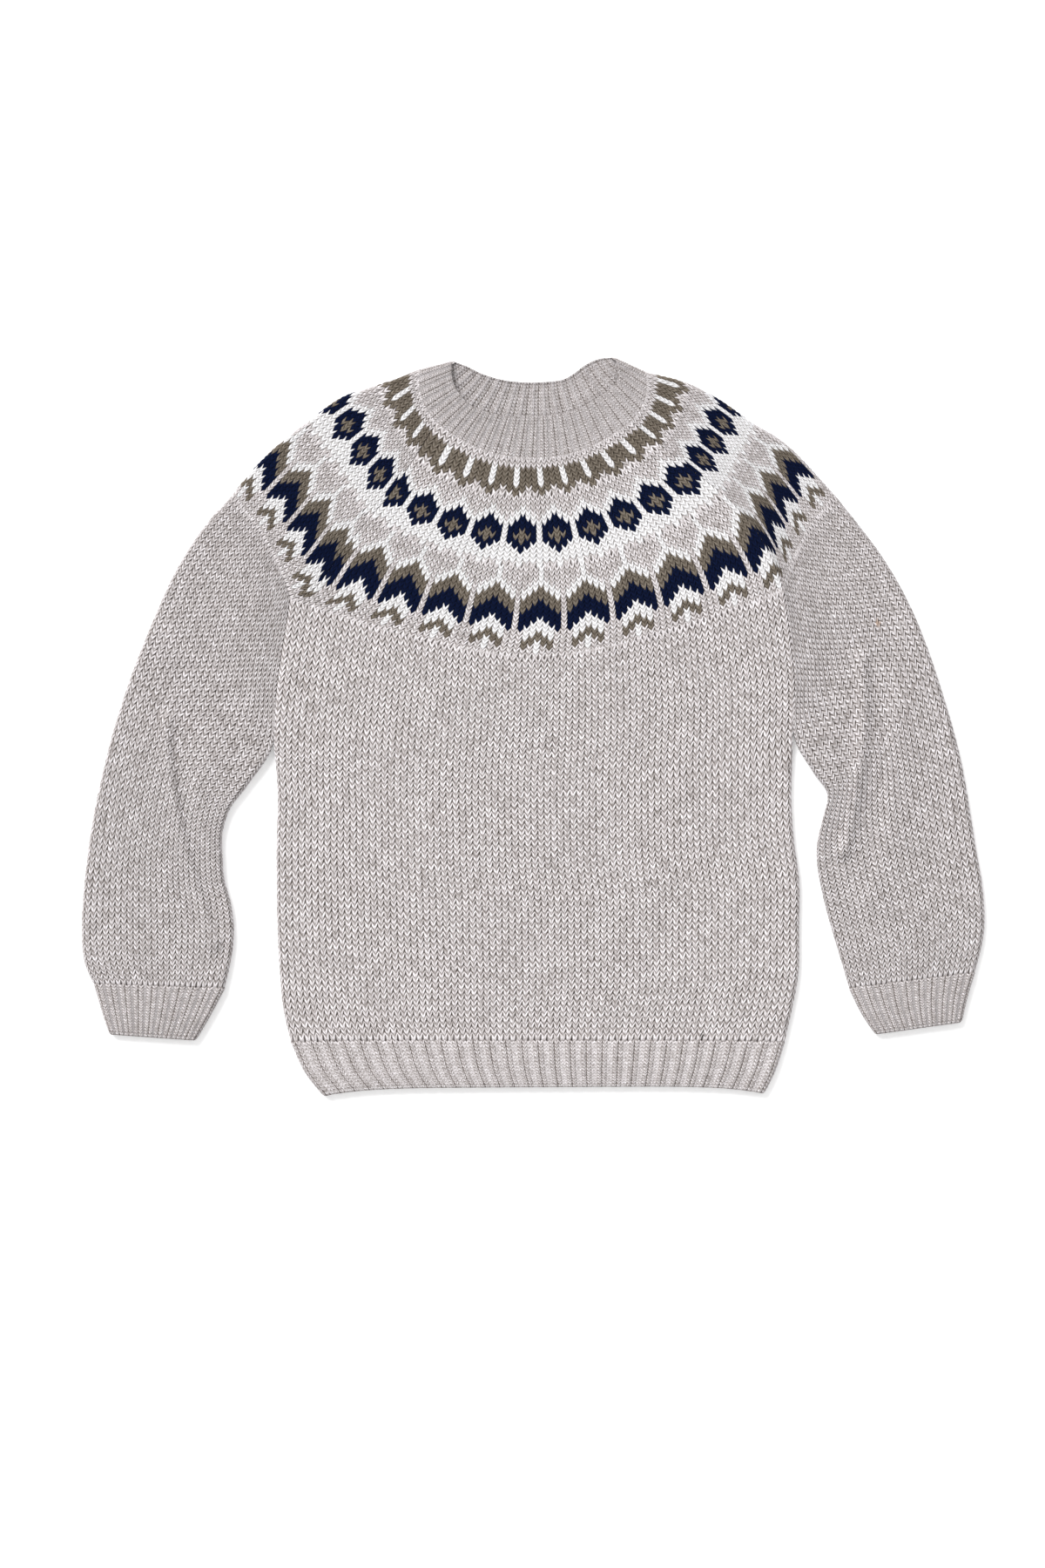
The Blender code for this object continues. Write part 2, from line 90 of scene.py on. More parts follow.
# Sleeve rows from the yoke seam to the cuff seam: the outer fold, the inner edge, how far the row bows to
# the neck, and how far the inner edge rolls over. The first four inner edges lie on the body's armhole.
SleeveRow = namedtuple("SleeveRow", "outer_x outer_y inner_x inner_y bow roll")
SLEEVE_RIGHT = [
    SleeveRow(-208.5, 157.2, -167.0, 86.5, 5.0, 0),
    SleeveRow(-222.9, 141.6, -170.8, 62.0, 3.5, 0),
    SleeveRow(-243.9, 110.4, -176.1, 26.4, 2.0, 0),
    SleeveRow(-261.9, 71.4, -178.5, -14.4, 1.0, 45),
    SleeveRow(-276.9, 33.6, -195.9, -41.4, 0.0, 85),
    SleeveRow(-287.1, 2.4, -207.9, -57.6, 0.0, 90),
    SleeveRow(-294.3, -24.6, -212.7, -72.6, 0.0, 90),
    SleeveRow(-302.1, -60.6, -212.7, -90.6, 0.0, 90),
    SleeveRow(-306.3, -87.6, -211.5, -105.6, 0.0, 90),
    SleeveRow(-309.3, -114.6, -207.3, -120.6, 0.0, 90),
    SleeveRow(-310.5, -141.6, -204.9, -140.4, 0.0, 90),
    SleeveRow(-308.7, -161.4, -206.7, -159.6, 0.0, 90),
    SleeveRow(-302.1, -177.6, -211.5, -180.6, 0.0, 90),
]
CUFF_RIGHT = [
    SLEEVE_RIGHT[-1],
    SleeveRow(-296.7, -195.6, -221.1, -198.6, 0.0, 90),
    SleeveRow(-291.3, -211.8, -231.3, -216.0, 0.0, 90),
]
SLEEVE_LEFT = [
    SleeveRow(210.3, 156.6, 173.2, 91.5, 5.0, 0),
    SleeveRow(224.1, 139.2, 176.4, 68.0, 3.5, 0),
    SleeveRow(240.3, 117.6, 180.3, 32.4, 2.0, 0),
    SleeveRow(258.3, 86.4, 179.7, -8.4, 1.0, 45),
    SleeveRow(271.5, 55.2, 192.9, -32.4, 0.0, 85),
    SleeveRow(281.7, 24.6, 202.5, -47.4, 0.0, 90),
    SleeveRow(288.9, 0.6, 199.5, -62.4, 0.0, 90),
    SleeveRow(295.5, -25.8, 195.3, -80.4, 0.0, 90),
    SleeveRow(300.3, -52.8, 195.3, -96.0, 0.0, 90),
    SleeveRow(304.5, -79.2, 198.3, -112.8, 0.0, 90),
    SleeveRow(309.9, -111.6, 203.7, -134.4, 0.0, 90),
    SleeveRow(310.8, -141.6, 210.9, -158.4, 0.0, 90),
    SleeveRow(304.5, -169.8, 217.5, -180.6, 0.0, 90),
]
CUFF_LEFT = [
    SLEEVE_LEFT[-1],
    SleeveRow(299.1, -187.8, 225.9, -197.4, 0.0, 90),
    SleeveRow(295.5, -203.4, 235.5, -211.8, 0.0, 90),
]

# Yoke rows from the body to the neck. Each spoke is a fold over the shoulder or a raglan seam on the front.
# rise and power bow the row between the seams, and bow is the row's bow towards the neck over the shoulder.
YokeRow = namedtuple(
    "YokeRow",
    "place fold_r_x fold_r_y seam_r_x seam_r_y seam_l_x seam_l_y fold_l_x fold_l_y rise power bow",
)
YOKE = [
    YokeRow(0, -208.5, 157.2, -167.0, 86.5, 173.2, 91.5, 210.3, 156.6, -43.5, 1.5, 5.0),
    YokeRow(6, -193.1, 176.2, -150.3, 94.2, 166.9, 110.6, 193.3, 175.4, -34.6, 1.5, 4.0),
    YokeRow(13, -171.9, 196.8, -131.9, 118.8, 152.0, 136.8, 172.1, 196.3, -34.8, 1.6, 3.0),
    YokeRow(19, -151.6, 212.5, -115.3, 139.2, 134.5, 156.4, 150.5, 209.6, -33.4, 1.8, 2.0),
    YokeRow(25, -130.5, 227.0, -98.2, 159.4, 113.7, 172.8, 129.8, 224.3, -30.3, 2.2, 0.0),
    YokeRow(31, -107.1, 234.8, -83.3, 181.2, 93.1, 189.1, 107.6, 236.0, -27.9, 2.3, -2.0),
    YokeRow(38, -78.9, 245.4, -66.9, 207.0, 69.3, 208.2, 78.9, 243.6, -25.2, 2.2, -5.0),
]
YOKE_PLACES = 38
BACK_NECK_RIGHT, BACK_NECK_LEFT = (-69.9, 227.4), (69.9, 227.4)  # the raglan seams' ends on the back

# The neckband's free edge, from the wearer's right to the wearer's left
NeckPoint = namedtuple("NeckPoint", "x y")
NECK_EDGE_FRONT = [
    NeckPoint(-55.5, 251.4),
    NeckPoint(-55.2, 240.0),
    NeckPoint(-50.7, 229.2),
    NeckPoint(-39.9, 219.0),
    NeckPoint(-20.7, 213.9),
    NeckPoint(-0.3, 212.8),
    NeckPoint(18.9, 214.5),
    NeckPoint(31.5, 217.8),
    NeckPoint(42.3, 224.4),
    NeckPoint(53.1, 231.6),
    NeckPoint(58.5, 239.4),
    NeckPoint(56.7, 253.8),
]
NECK_EDGE_BACK = [
    NeckPoint(-55.5, 251.4),
    NeckPoint(-45.3, 247.8),
    NeckPoint(-33.3, 242.1),
    NeckPoint(-17.7, 237.9),
    NeckPoint(0.3, 236.7),
    NeckPoint(18.9, 238.2),
    NeckPoint(27.9, 242.4),
    NeckPoint(36.3, 248.7),
    NeckPoint(45.9, 252.9),
    NeckPoint(56.7, 253.8),
]

# Soft folds of the upper layer: where each starts, bends and ends, its half width, and how far it lifts the
# layer, which is below zero for a trough. The first eleven are in the solids too, and the rest in the cloth.
Fold = namedtuple("Fold", "x0 y0 x1 y1 x2 y2 half_width lift")
FOLDS = [
    Fold(-172.0, 110.0, -176.0, 50.0, -178.5, -16.0, 9.0, -0.9),  # right armhole
    Fold(173.0, 118.0, 179.0, 55.0, 180.0, -10.0, 9.0, -0.9),  # left armhole
    Fold(-249.0, 0.0, -247.0, -70.0, -217.0, -154.0, 11.0, -0.9),  # right sleeve, elbow to cuff
    Fold(-228.0, -10.0, -228.0, -50.0, -224.0, -80.0, 12.0, 1.2),  # beside it
    Fold(222.0, 24.0, 233.0, -30.0, 210.0, -92.0, 11.0, -0.9),  # left sleeve, inside the elbow
    Fold(245.0, 10.0, 250.0, -45.0, 240.0, -110.0, 16.0, 1.2),  # beside it
    Fold(-262.0, 60.0, -225.0, 70.0, -196.0, 80.0, 18.0, 0.9),  # top of the right sleeve
    Fold(262.0, 70.0, 230.0, 75.0, 200.0, 84.0, 18.0, 0.9),  # top of the left sleeve
    Fold(-70.0, 235.0, 2.0, 196.0, 70.0, 235.0, 24.0, 1.5),  # the neckband stands up a little
    Fold(-120.0, -60.0, -40.0, -80.0, 30.0, -60.0, 60.0, 0.7),  # the body's middle
    Fold(-140.0, -200.0, 0.0, -204.0, 140.0, -200.0, 16.0, -0.4),  # the hem draws in
    Fold(-251.5, 4.0, -251.0, -66.0, -218.0, -148.0, 4.6, 4.8),  # the ridge beside the right sleeve's crease
    Fold(-244.0, -10.0, -242.0, -70.0, -211.0, -138.0, 5.0, -2.4),  # the crease itself
    Fold(-230.0, -40.0, -226.0, -80.0, -212.0, -104.0, 5.0, 1.0),  # and its far edge
    Fold(-243.0, 30.0, -238.0, 8.0, -222.0, -14.0, 6.0, -0.6),  # inside the right elbow
    Fold(226.0, 46.0, 232.0, -10.0, 214.0, -86.0, 4.6, 4.4),  # the ridge beside the left sleeve's crease
    Fold(239.0, 46.0, 246.0, -20.0, 227.0, -104.0, 7.0, -2.0),  # the crease itself
    Fold(272.0, 10.0, 278.0, -50.0, 262.0, -104.0, 12.0, -0.5),  # a hollow beyond it
    Fold(-186.0, 118.0, -189.0, 62.0, -192.0, 12.0, 5.0, 0.7),  # sleeve beside the right armhole
    Fold(186.0, 122.0, 191.0, 66.0, 195.0, 16.0, 5.0, 0.7),  # sleeve beside the left armhole
    Fold(-168.0, 66.0, -171.0, 30.0, -172.0, -12.0, 5.0, 0.6),  # body beside the right armhole
    Fold(-60.0, 30.0, -20.0, -60.0, -34.0, -150.0, 34.0, 0.6),  # long soft swell of the front
    Fold(96.0, 20.0, 120.0, -60.0, 108.0, -160.0, 30.0, -0.5),  # and a hollow beside it
]

# Stitch counts. Ribs are two knit and two purl columns each, in a finer gauge than the plain knit.
BODY_COLUMNS, BODY_ROWS = 81, 70
SLEEVE_COLUMNS, SLEEVE_ROWS = 52, 89
RIB_COLUMNS = 4
RIB_GAUGE = 0.85  # a rib stitch's depth beside a plain one's
HEM_KNIT, CUFF_KNIT, NECK_KNIT = 0.58, 0.8, 0.7  # the share of a rib that its two knit columns take
HEM_RIBS, HEM_ROWS = 31, 15
CUFF_RIBS, CUFF_ROWS = 10, 18
NECK_RIBS_FRONT, NECK_RIBS_BACK, NECK_ROWS = 27, 20, 15

# The yoke's pattern, row by row from the body. A letter is a yarn: w white, o olive, n navy and . the main
# yarn. The first letter is the middle of the motif, the last one the middle between two motifs, and both
# sides are alike. columns and phase are a section's stitches and how far its middle is from a motif's.
Band = namedtuple("Band", "repeat front_columns front_phase shoulder_columns right_phase left_phase rows")
ARROWS = Band(8, 79, 1, 57, 2, 5, """
    ..... w.... w.o.. woo.. oow.. oww.. wwwn. wwnn. wnnn. nnnn.
    nnno. nnoo. nooo. ooow. ooww. oww.. ww... w.... w.... w....""".split())
DIAMONDS = Band(6, 57, 4, 45, 0, 0, """
    w..w wwww wwww nwww nnww onnw oonw onnw nnnw nnww nww. ww.. w... .... ....""".split())
PINS = Band(4, 39, 0, 29, 0, 2, "o.. oo. woo woo woo woo ... ...".split())
BANDS = (ARROWS, DIAMONDS, PINS)
YOKE_ROWS = sum(len(band.rows) for band in BANDS)

# How the yoke's cloth is pulled out of shape as it lies: how far columns shift along their row, as a share
# of it, and how many rows the rows shift up. Each is a polynomial, whose terms rise with the share across
# from one list to the next and with the share of the yoke's height within a list.
Pull = namedtuple("Pull", "columns rows")
FRONT_PULL = Pull(
    [[-0.051, -0.367, 0.637], [0.153, 0.155, -0.595]],
    [[5.27, -4.91], [-20.8, 15.99], [13.96, -1.06], [3.0, -8.86]],
)
BACK_PULL = Pull([[0.0]], [[2.0], [-8.0], [8.0]])
SHOULDER_PULL = Pull([[0.0]], [[2.3], [-5.6], [2.5]])
YOKE_FINE = 100  # steps across the even cloth that is pulled

# One stitch: how far each of its points is drawn up its column, in rows, and how far it stands out, as a
# share of the relief, for each row of points from its foot. A knit stitch is a V, and a purl one is two bars.
# How far a point stands out also sets the shade painted on it, which is darker the less it stands out.
Stitch = namedtuple("Stitch", "drawn stands")
KNIT = Stitch(
    (0.92, 0.46, 0.0, 0.46),
    ((0.0, 0.12, 0.3, 0.12), (0.12, 1.0, 0.5, 1.0), (0.7, 0.95, 0.65, 0.95)),
)
PURL = Stitch(
    (0.5, 0.25, 0.0, 0.25),
    ((0.3, 0.4, 0.45, 0.4), (0.95, 0.8, 0.95, 0.8), (0.97, 0.85, 0.97, 0.85)),
)
RIB = (PURL, KNIT, KNIT, PURL)
ACROSS = 4  # points across a stitch
DETAIL, LOW_DETAIL = 3, 2  # rows of points for each row of stitches, where they show best and elsewhere
UNEVEN_ROWS, UNEVEN_RELIEF = 0.05, 0.14  # spread of the stitches' places, in rows, and of their relief
VALLEY_FLOOR, VALLEY_SIDE = 0.12, 0.6  # shares of the wave between ribs that a valley's floor and side take
TUCK, TUCK_SINK = 0.3, 0.4  # how far a joined piece starts under the one before, in rows and in millimetres
DIP_REACH = 1.2  # how many stitches in from an edge the cloth is drawn in
LAST_STANDS = 0.32  # how far the last line of points stands out where the next piece goes on from it, and how light the painted shade is on that line and on a first line that goes on from another piece
LEAST_SHELL = 0.3
EDGE_SHADE = 0.05  # painted shade: how much darker cloth is painted for each millimetre that an edge is drawn in
VALLEY_SHADE = 0.96  # painted shade: how light the bottom of a rib's valley is painted beside its top
LINING_SHADE = 0.7  # how far the plain inner face stands out, which sets the shade painted on it
SLEEVE_PAINTED_SHADE = 0.92  # painted shade: how light the sleeves' wool is painted beside the body's, for the shade on their curved cloth
SEED = 11

# Each wool's streaks along a row, its fibres, and how dark the shade painted in the hollows between stitches
# is
WOOLS = {"plain_knit": (0.17, 0.5, 1.0), "patterned_knit": (0.17, 0.45, 0.95), "rib_knit": (0.14, 0.5, 0.84)}
STREAK_ALONG, STREAK_BETWEEN = 0.55, 7.31  # how fast streaks change along a row and from row to row
FIBRE_ALONG, FIBRE_UP, FIBRE_TURN = 2.6, 4.4, 0.7
STREAK_NOISE, FIBRE_NOISE = (0.25, 0.75), (0.3, 0.7)  # the noise that gives the darkest and the lightest wool
SWATCH_APART = 10.0  # how far apart in the noise the swatches of a piece lie
FLECKS = {".": 1.0, "w": 0.25, "o": 0.7, "n": 0.35}  # how strongly each yarn is flecked
HOLLOW_SHADE_BY_FLECKS = (0.25, 1.0, 0.7, 1.0)  # the least and most flecked yarns, and their shares of the shade painted in the hollows
# how the painted shade in a hollow deepens as a point stands out less
HOLLOW_SHADE_POWER = 1.2
GREEN_POWER, BLUE_POWER = 1.06, 1.12  # how much faster darker wool, from darker fibres and from the painted shade in the hollows, loses green and blue
FUZZ_SCALE = 1400.0
PLY_TURN, PLY_HEIGHT = 0.5, 0.25

# Where a piece's outer face, its rim and its lining lie, up the unwrapped picture
SKIN_BAND, RIM_BAND, LINING_BAND = (0.0, 0.62), (0.63, 0.67), (0.68, 1.0)
MARGIN, RIM_CELL = 0.01, 0.45

# The stage, in metres and radians
FLOOR_SIZE, FLOOR_DROP = 6.0, 0.0004
VIEW_MIDDLE = (-0.0069, -0.0396)
LIGHT_PLACE, LIGHT_TURN = (-1.0, 1.2, 1.5), (-0.70, -0.60, 0.0)

# Spots of other fibre that the yarn picked up
Speck = namedtuple("Speck", "x y radius red green blue")
SPECKS = [
    Speck(-37.5, 223.8, 2.2, 166, 138, 108),
    Speck(237.3, 70.8, 2.0, 200, 176, 160),
    Speck(116.7, -212.4, 1.6, 84, 74, 68),
]


def linear(red, green, blue):
    """A display colour of 0 to 255 as the linear one that a shader takes."""
    share = np.array([red, green, blue]) / 255.0
    return tuple(np.where(share <= 0.04045, share / 12.92, ((share + 0.055) / 1.055) ** 2.4))


class SweaterCloth(bpy.types.PropertyGroup):
    """Sizes of the knitted cloth."""

    shell: bpy.props.FloatProperty(
        name="Shell", description="Thickness of the knitted shell", default=0.0024, unit="LENGTH"
    )
    relief: bpy.props.FloatProperty(
        name="Relief", description="Depth of the stitches", default=0.00115, unit="LENGTH"
    )
    rib_rise: bpy.props.FloatProperty(
        name="Rib rise", description="How far a rib's knit columns stand out", default=0.00035, unit="LENGTH"
    )
    rib_sink: bpy.props.FloatProperty(
        name="Rib sink", description="How far a rib's purl columns lie back", default=0.00035, unit="LENGTH"
    )
    seam_dip: bpy.props.FloatProperty(
        name="Seam dip", description="How far cloth is drawn in at a seam", default=0.0008, unit="LENGTH"
    )
    edge_dip: bpy.props.FloatProperty(
        name="Edge dip", description="How far a free edge is rounded off", default=0.0007, unit="LENGTH"
    )


class SweaterYarn(bpy.types.PropertyGroup):
    """Colours of the yarns."""

    main: bpy.props.FloatVectorProperty(
        name="Main", description="Heather yarn", subtype="COLOR", size=3, default=linear(234, 229, 231)
    )
    white: bpy.props.FloatVectorProperty(
        name="White", description="White yarn", subtype="COLOR", size=3, default=linear(252, 252, 255)
    )
    olive: bpy.props.FloatVectorProperty(
        name="Olive", description="Olive brown yarn", subtype="COLOR", size=3, default=linear(128, 119, 108)
    )
    navy: bpy.props.FloatVectorProperty(
        name="Navy", description="Navy yarn", subtype="COLOR", size=3, default=linear(4, 18, 52)
    )
    fuzz: bpy.props.FloatProperty(
        name="Fuzz", description="Depth of the fibres' bump", default=0.0002, unit="LENGTH"
    )


class SweaterStage(bpy.types.PropertyGroup):
    """The floor, the light and the camera."""

    floor: bpy.props.FloatVectorProperty(
        name="Floor", description="Colour of the floor", subtype="COLOR", size=3, default=(0.95, 0.95, 0.95)
    )
    floor_glow: bpy.props.FloatProperty(
        name="Floor glow", description="Light that the floor gives", default=0.22
    )
    frame_height: bpy.props.FloatProperty(
        name="Frame height", description="Height of the picture on the floor", default=1.08, unit="LENGTH"
    )
    lens: bpy.props.FloatProperty(name="Lens", description="Focal length", default=85.0, unit="CAMERA")
    key: bpy.props.FloatProperty(
        name="Key light", description="Strength of the light from one side", default=2.8
    )
    key_spread: bpy.props.FloatProperty(
        name="Key spread", description="How wide that light looks", default=0.55, unit="ROTATION"
    )
    world: bpy.props.FloatProperty(name="World", description="Strength of the even light", default=0.74)


class Path:
    """A line in plan that is read by distance along it."""

    def __init__(self, points):
        self.points = np.array(points, float)
        steps = np.linalg.norm(np.diff(self.points, axis=0), axis=1)
        self.marks = np.concatenate([[0.0], np.cumsum(steps)])
        self.length = float(self.marks[-1])

    def at(self, distance):
        x = np.interp(distance, self.marks, self.points[:, 0])
        y = np.interp(distance, self.marks, self.points[:, 1])
        return np.stack([x, y], axis=-1)


def bowed_path(start, end, rise, power):
    """A line from start to end whose middle lies rise above it."""
    share = np.linspace(0.0, 1.0, PATH_STEPS + 1)
    points = np.outer(1 - share, start) + np.outer(share, end)
    points[:, 1] += rise * (1 - np.abs(2 * share - 1) ** power)
    return Path(points)


def shoulder_path(inner, outer, bow):
    """A line from a seam to the outer fold, bowed towards the neck."""
    share = np.linspace(0.0, 1.0, PATH_STEPS + 1)
    points = np.outer(1 - share, inner) + np.outer(share, outer)
    along = np.subtract(outer, inner)
    side = 1.0 if outer[0] > 0 else -1.0
    normal = side * np.array([-along[1], along[0]]) / np.linalg.norm(along)
    return Path(points + np.outer(4 * bow * share * (1 - share), normal))


def smooth_path(points):
    """A curve through the points, as a Catmull-Rom spline."""
    p = np.array([points[0], *points, points[-1]], float)
    t = np.linspace(0.0, 1.0, SPLINE_STEPS, endpoint=False)[:, None]
    spans = []
    for a, b, c, d in zip(p, p[1:], p[2:], p[3:]):
        bend = (2 * a - 5 * b + 4 * c - d) * t**2 + (3 * b - a - 3 * c + d) * t**3
        spans.append(0.5 * (2 * b + (c - a) * t + bend))
    return Path(np.vstack([*spans, p[-1:]]))


def distance_to_line(points, line):
    nearest = np.full(len(points), np.inf)
    for a, b in zip(line, line[1:]):
        along = b - a
        share = np.clip((points - a) @ along / (along @ along), 0.0, 1.0)
        nearest = np.minimum(nearest, np.linalg.norm(points - a - np.outer(share, along), axis=1))
    return nearest


def height(points):
    """Top of the upper layer above the surface, over points in plan."""
    air = np.full(len(points), AIR)
    t = np.linspace(0.0, 1.0, FOLD_STEPS + 1)[:, None]
    for f in FOLDS:
        line = (1 - t) ** 2 * (f.x0, f.y0) + 2 * t * (1 - t) * (f.x1, f.y1) + t**2 * (f.x2, f.y2)
        away = distance_to_line(points, line)
        air += f.lift * np.exp(-((away / f.half_width) ** 2))
    return 2 * WALL + np.clip(air, LEAST_AIR, MOST_AIR)


class Layer:
    """One layer of cloth along a path, which may roll over at both ends."""

    def __init__(self, path, upper, roll_start=0.0, roll_end=0.0):
        self.path, self.upper = path, upper
        self.radius = height(path.at(np.array([0.0, path.length]))) / 2
        self.angle = np.radians([roll_start, roll_end])
        self.plan = self.radius * np.sin(self.angle)
        self.arc = self.radius * self.angle
        self.flat = path.length - self.plan.sum()
        self.length = self.arc.sum() + self.flat

    def surface(self, along, depth):
        """Points at distances along the cloth and at depths below its outer face."""
        depth = np.broadcast_to(depth, along.shape)
        start, end = self.arc[0], self.length - self.arc[1]
        place = self.plan[0] + np.clip(along, start, end) - start
        top = height(self.path.at(place))
        ends = height(self.path.at(np.array([self.plan[0], self.path.length - self.plan[1]])))
        fade = np.exp(-np.stack([place - self.plan[0], self.path.length - self.plan[1] - place]) / ROLL_REACH)
        top += ((2 * self.radius - ends)[:, None] * fade).sum(axis=0)
        z = top - depth if self.upper else depth.astype(float)
        for i, turned in ((0, start - along), (1, along - end)):
            on = turned > 1e-9
            turn = turned[on] / self.radius[i]
            r = self.radius[i] - depth[on]
            place[on] += (2 * i - 1) * r * np.sin(turn)
            z[on] = self.radius[i] + (1 if self.upper else -1) * r * np.cos(turn)
        return np.column_stack([self.path.at(place), z])


def body_layer(row, upper):
    path = bowed_path((row.right_x, row.right_y), (row.left_x, row.left_y), row.rise, row.power)
    return Layer(path, upper, row.roll, row.roll)


def sleeve_layers(row):
    path = shoulder_path((row.inner_x, row.inner_y), (row.outer_x, row.outer_y), row.bow)
    return Layer(path, True, row.roll, FULL_ROLL), Layer(path, False, row.roll, FULL_ROLL)


def back_seam(row, side):
    """A raglan seam's point on the back, which runs straight from the armhole to its end at the neck."""
    share = row.place / YOKE_PLACES
    foot = (YOKE[0].seam_r_x, YOKE[0].seam_r_y) if side < 0 else (YOKE[0].seam_l_x, YOKE[0].seam_l_y)
    neck = BACK_NECK_RIGHT if side < 0 else BACK_NECK_LEFT
    return tuple((1 - share) * np.array(foot) + share * np.array(neck))


def yoke_path(row, upper):
    if upper:
        return bowed_path((row.seam_r_x, row.seam_r_y), (row.seam_l_x, row.seam_l_y), row.rise, row.power)
    return bowed_path(back_seam(row, -1), back_seam(row, 1), row.rise, row.power)


def shoulder_paths(row, side):
    """The upper and the lower path from the raglan seams to the fold over the shoulder."""
    if side < 0:
        fold, seam = (row.fold_r_x, row.fold_r_y), (row.seam_r_x, row.seam_r_y)
    else:
        fold, seam = (row.fold_l_x, row.fold_l_y), (row.seam_l_x, row.seam_l_y)
    return shoulder_path(seam, fold, row.bow), shoulder_path(back_seam(row, side), fold, row.bow)


def neck_path(share, upper):
    """The neckband's path at a share of its width, from the yoke seam to its free edge."""
    top = YOKE[-1]
    over_right = shoulder_paths(top, -1)[0 if upper else 1].points
    over_left = shoulder_paths(top, 1)[0 if upper else 1].points
    seam = Path(np.vstack([over_right[::-1], yoke_path(top, upper).points[1:], over_left[1:]]))
    edge = smooth_path(NECK_EDGE_FRONT if upper else NECK_EDGE_BACK)
    places = np.linspace(0.0, 1.0, 4 * PATH_STEPS + 1)
    return Path((1 - share) * seam.at(places * seam.length) + share * edge.at(places * edge.length))


def knit_rows(table, count, marks=None):
    """Rows of a table as count even steps, on a smooth curve through the table's own rows."""
    values = np.array(table, float)
    if marks is None:
        steps = np.diff(values[:, :4], axis=0)
        walk = (np.hypot(steps[:, 0], steps[:, 1]) + np.hypot(steps[:, 2], steps[:, 3])) / 2
        marks = np.concatenate([[0.0], np.cumsum(walk)])
    slopes = np.gradient(values, marks, axis=0)
    place = np.linspace(marks[0], marks[-1], count + 1)
    low = np.clip(np.searchsorted(marks, place, side="right") - 1, 0, len(marks) - 2)
    span = (marks[low + 1] - marks[low])[:, None]
    t = (place - marks[low])[:, None] / span
    from_low = (1 + 2 * t) * (1 - t) ** 2 * values[low] + t * (1 - t) ** 2 * span * slopes[low]
    from_high = t**2 * (3 - 2 * t) * values[low + 1] - t**2 * (1 - t) * span * slopes[low + 1]
    return [type(table[0])(*row) for row in from_low + from_high]


# A stretch of a knit row: its layer, the shares of the layer where it starts and ends, and its stitches
Stretch = namedtuple("Stretch", "layer start end columns")


def rib_places(columns, knit_share):
    """Shares along a ribbed row, whose purl columns draw in between the knit ones."""
    rib, part = np.divmod(np.arange(round(columns * ACROSS) + 1) / (ACROSS * RIB_COLUMNS), 1.0)
    part = np.interp(part, [0.0, 0.25, 0.75, 1.0], [0.0, 0.5 - knit_share / 2, 0.5 + knit_share / 2, 1.0])
    return (rib + part) * RIB_COLUMNS / columns


def rib_swell(columns):
    """How far each point across the columns stands out, from 0 between ribs to 1 on a rib."""
    place = np.arange(round(columns * ACROSS) + 1) / (ACROSS * RIB_COLUMNS)
    wave = 0.5 - 0.5 * np.cos(2 * np.pi * place)
    swell = np.clip((wave - VALLEY_FLOOR) / VALLEY_SIDE, 0.0, 1.0)
    return swell * swell * (3 - 2 * swell)


def knit_row(stretches, cloth=None, knit_share=0.5):
    """The outer and inner points along a row, ACROSS of them for each stitch, ribbed where cloth is given."""
    outer, inner = [], []
    for layer, start, end, columns in stretches:
        along = np.linspace(start, end, round(columns * ACROSS) + 1) * layer.length
        depth = np.zeros(len(along))
        if cloth:
            along = (start + (end - start) * rib_places(columns, knit_share)) * layer.length
            swell = rib_swell(columns)
            if layer.upper:
                depth = (cloth.rib_sink * (1 - swell) - cloth.rib_rise * swell) / MM
            else:
                into_roll = np.minimum(along - layer.arc[0], layer.length - layer.arc[1] - along)
                depth = (cloth.rib_rise + cloth.rib_sink) / MM * (1 - swell)
                depth *= np.clip(into_roll / ROLL_REACH, 0.0, 1.0)
        first = 1 if outer else 0
        outer.append(layer.surface(along, depth)[first:])
        inner.append(layer.surface(along, WALL)[first:])
    return np.vstack(outer), np.vstack(inner)


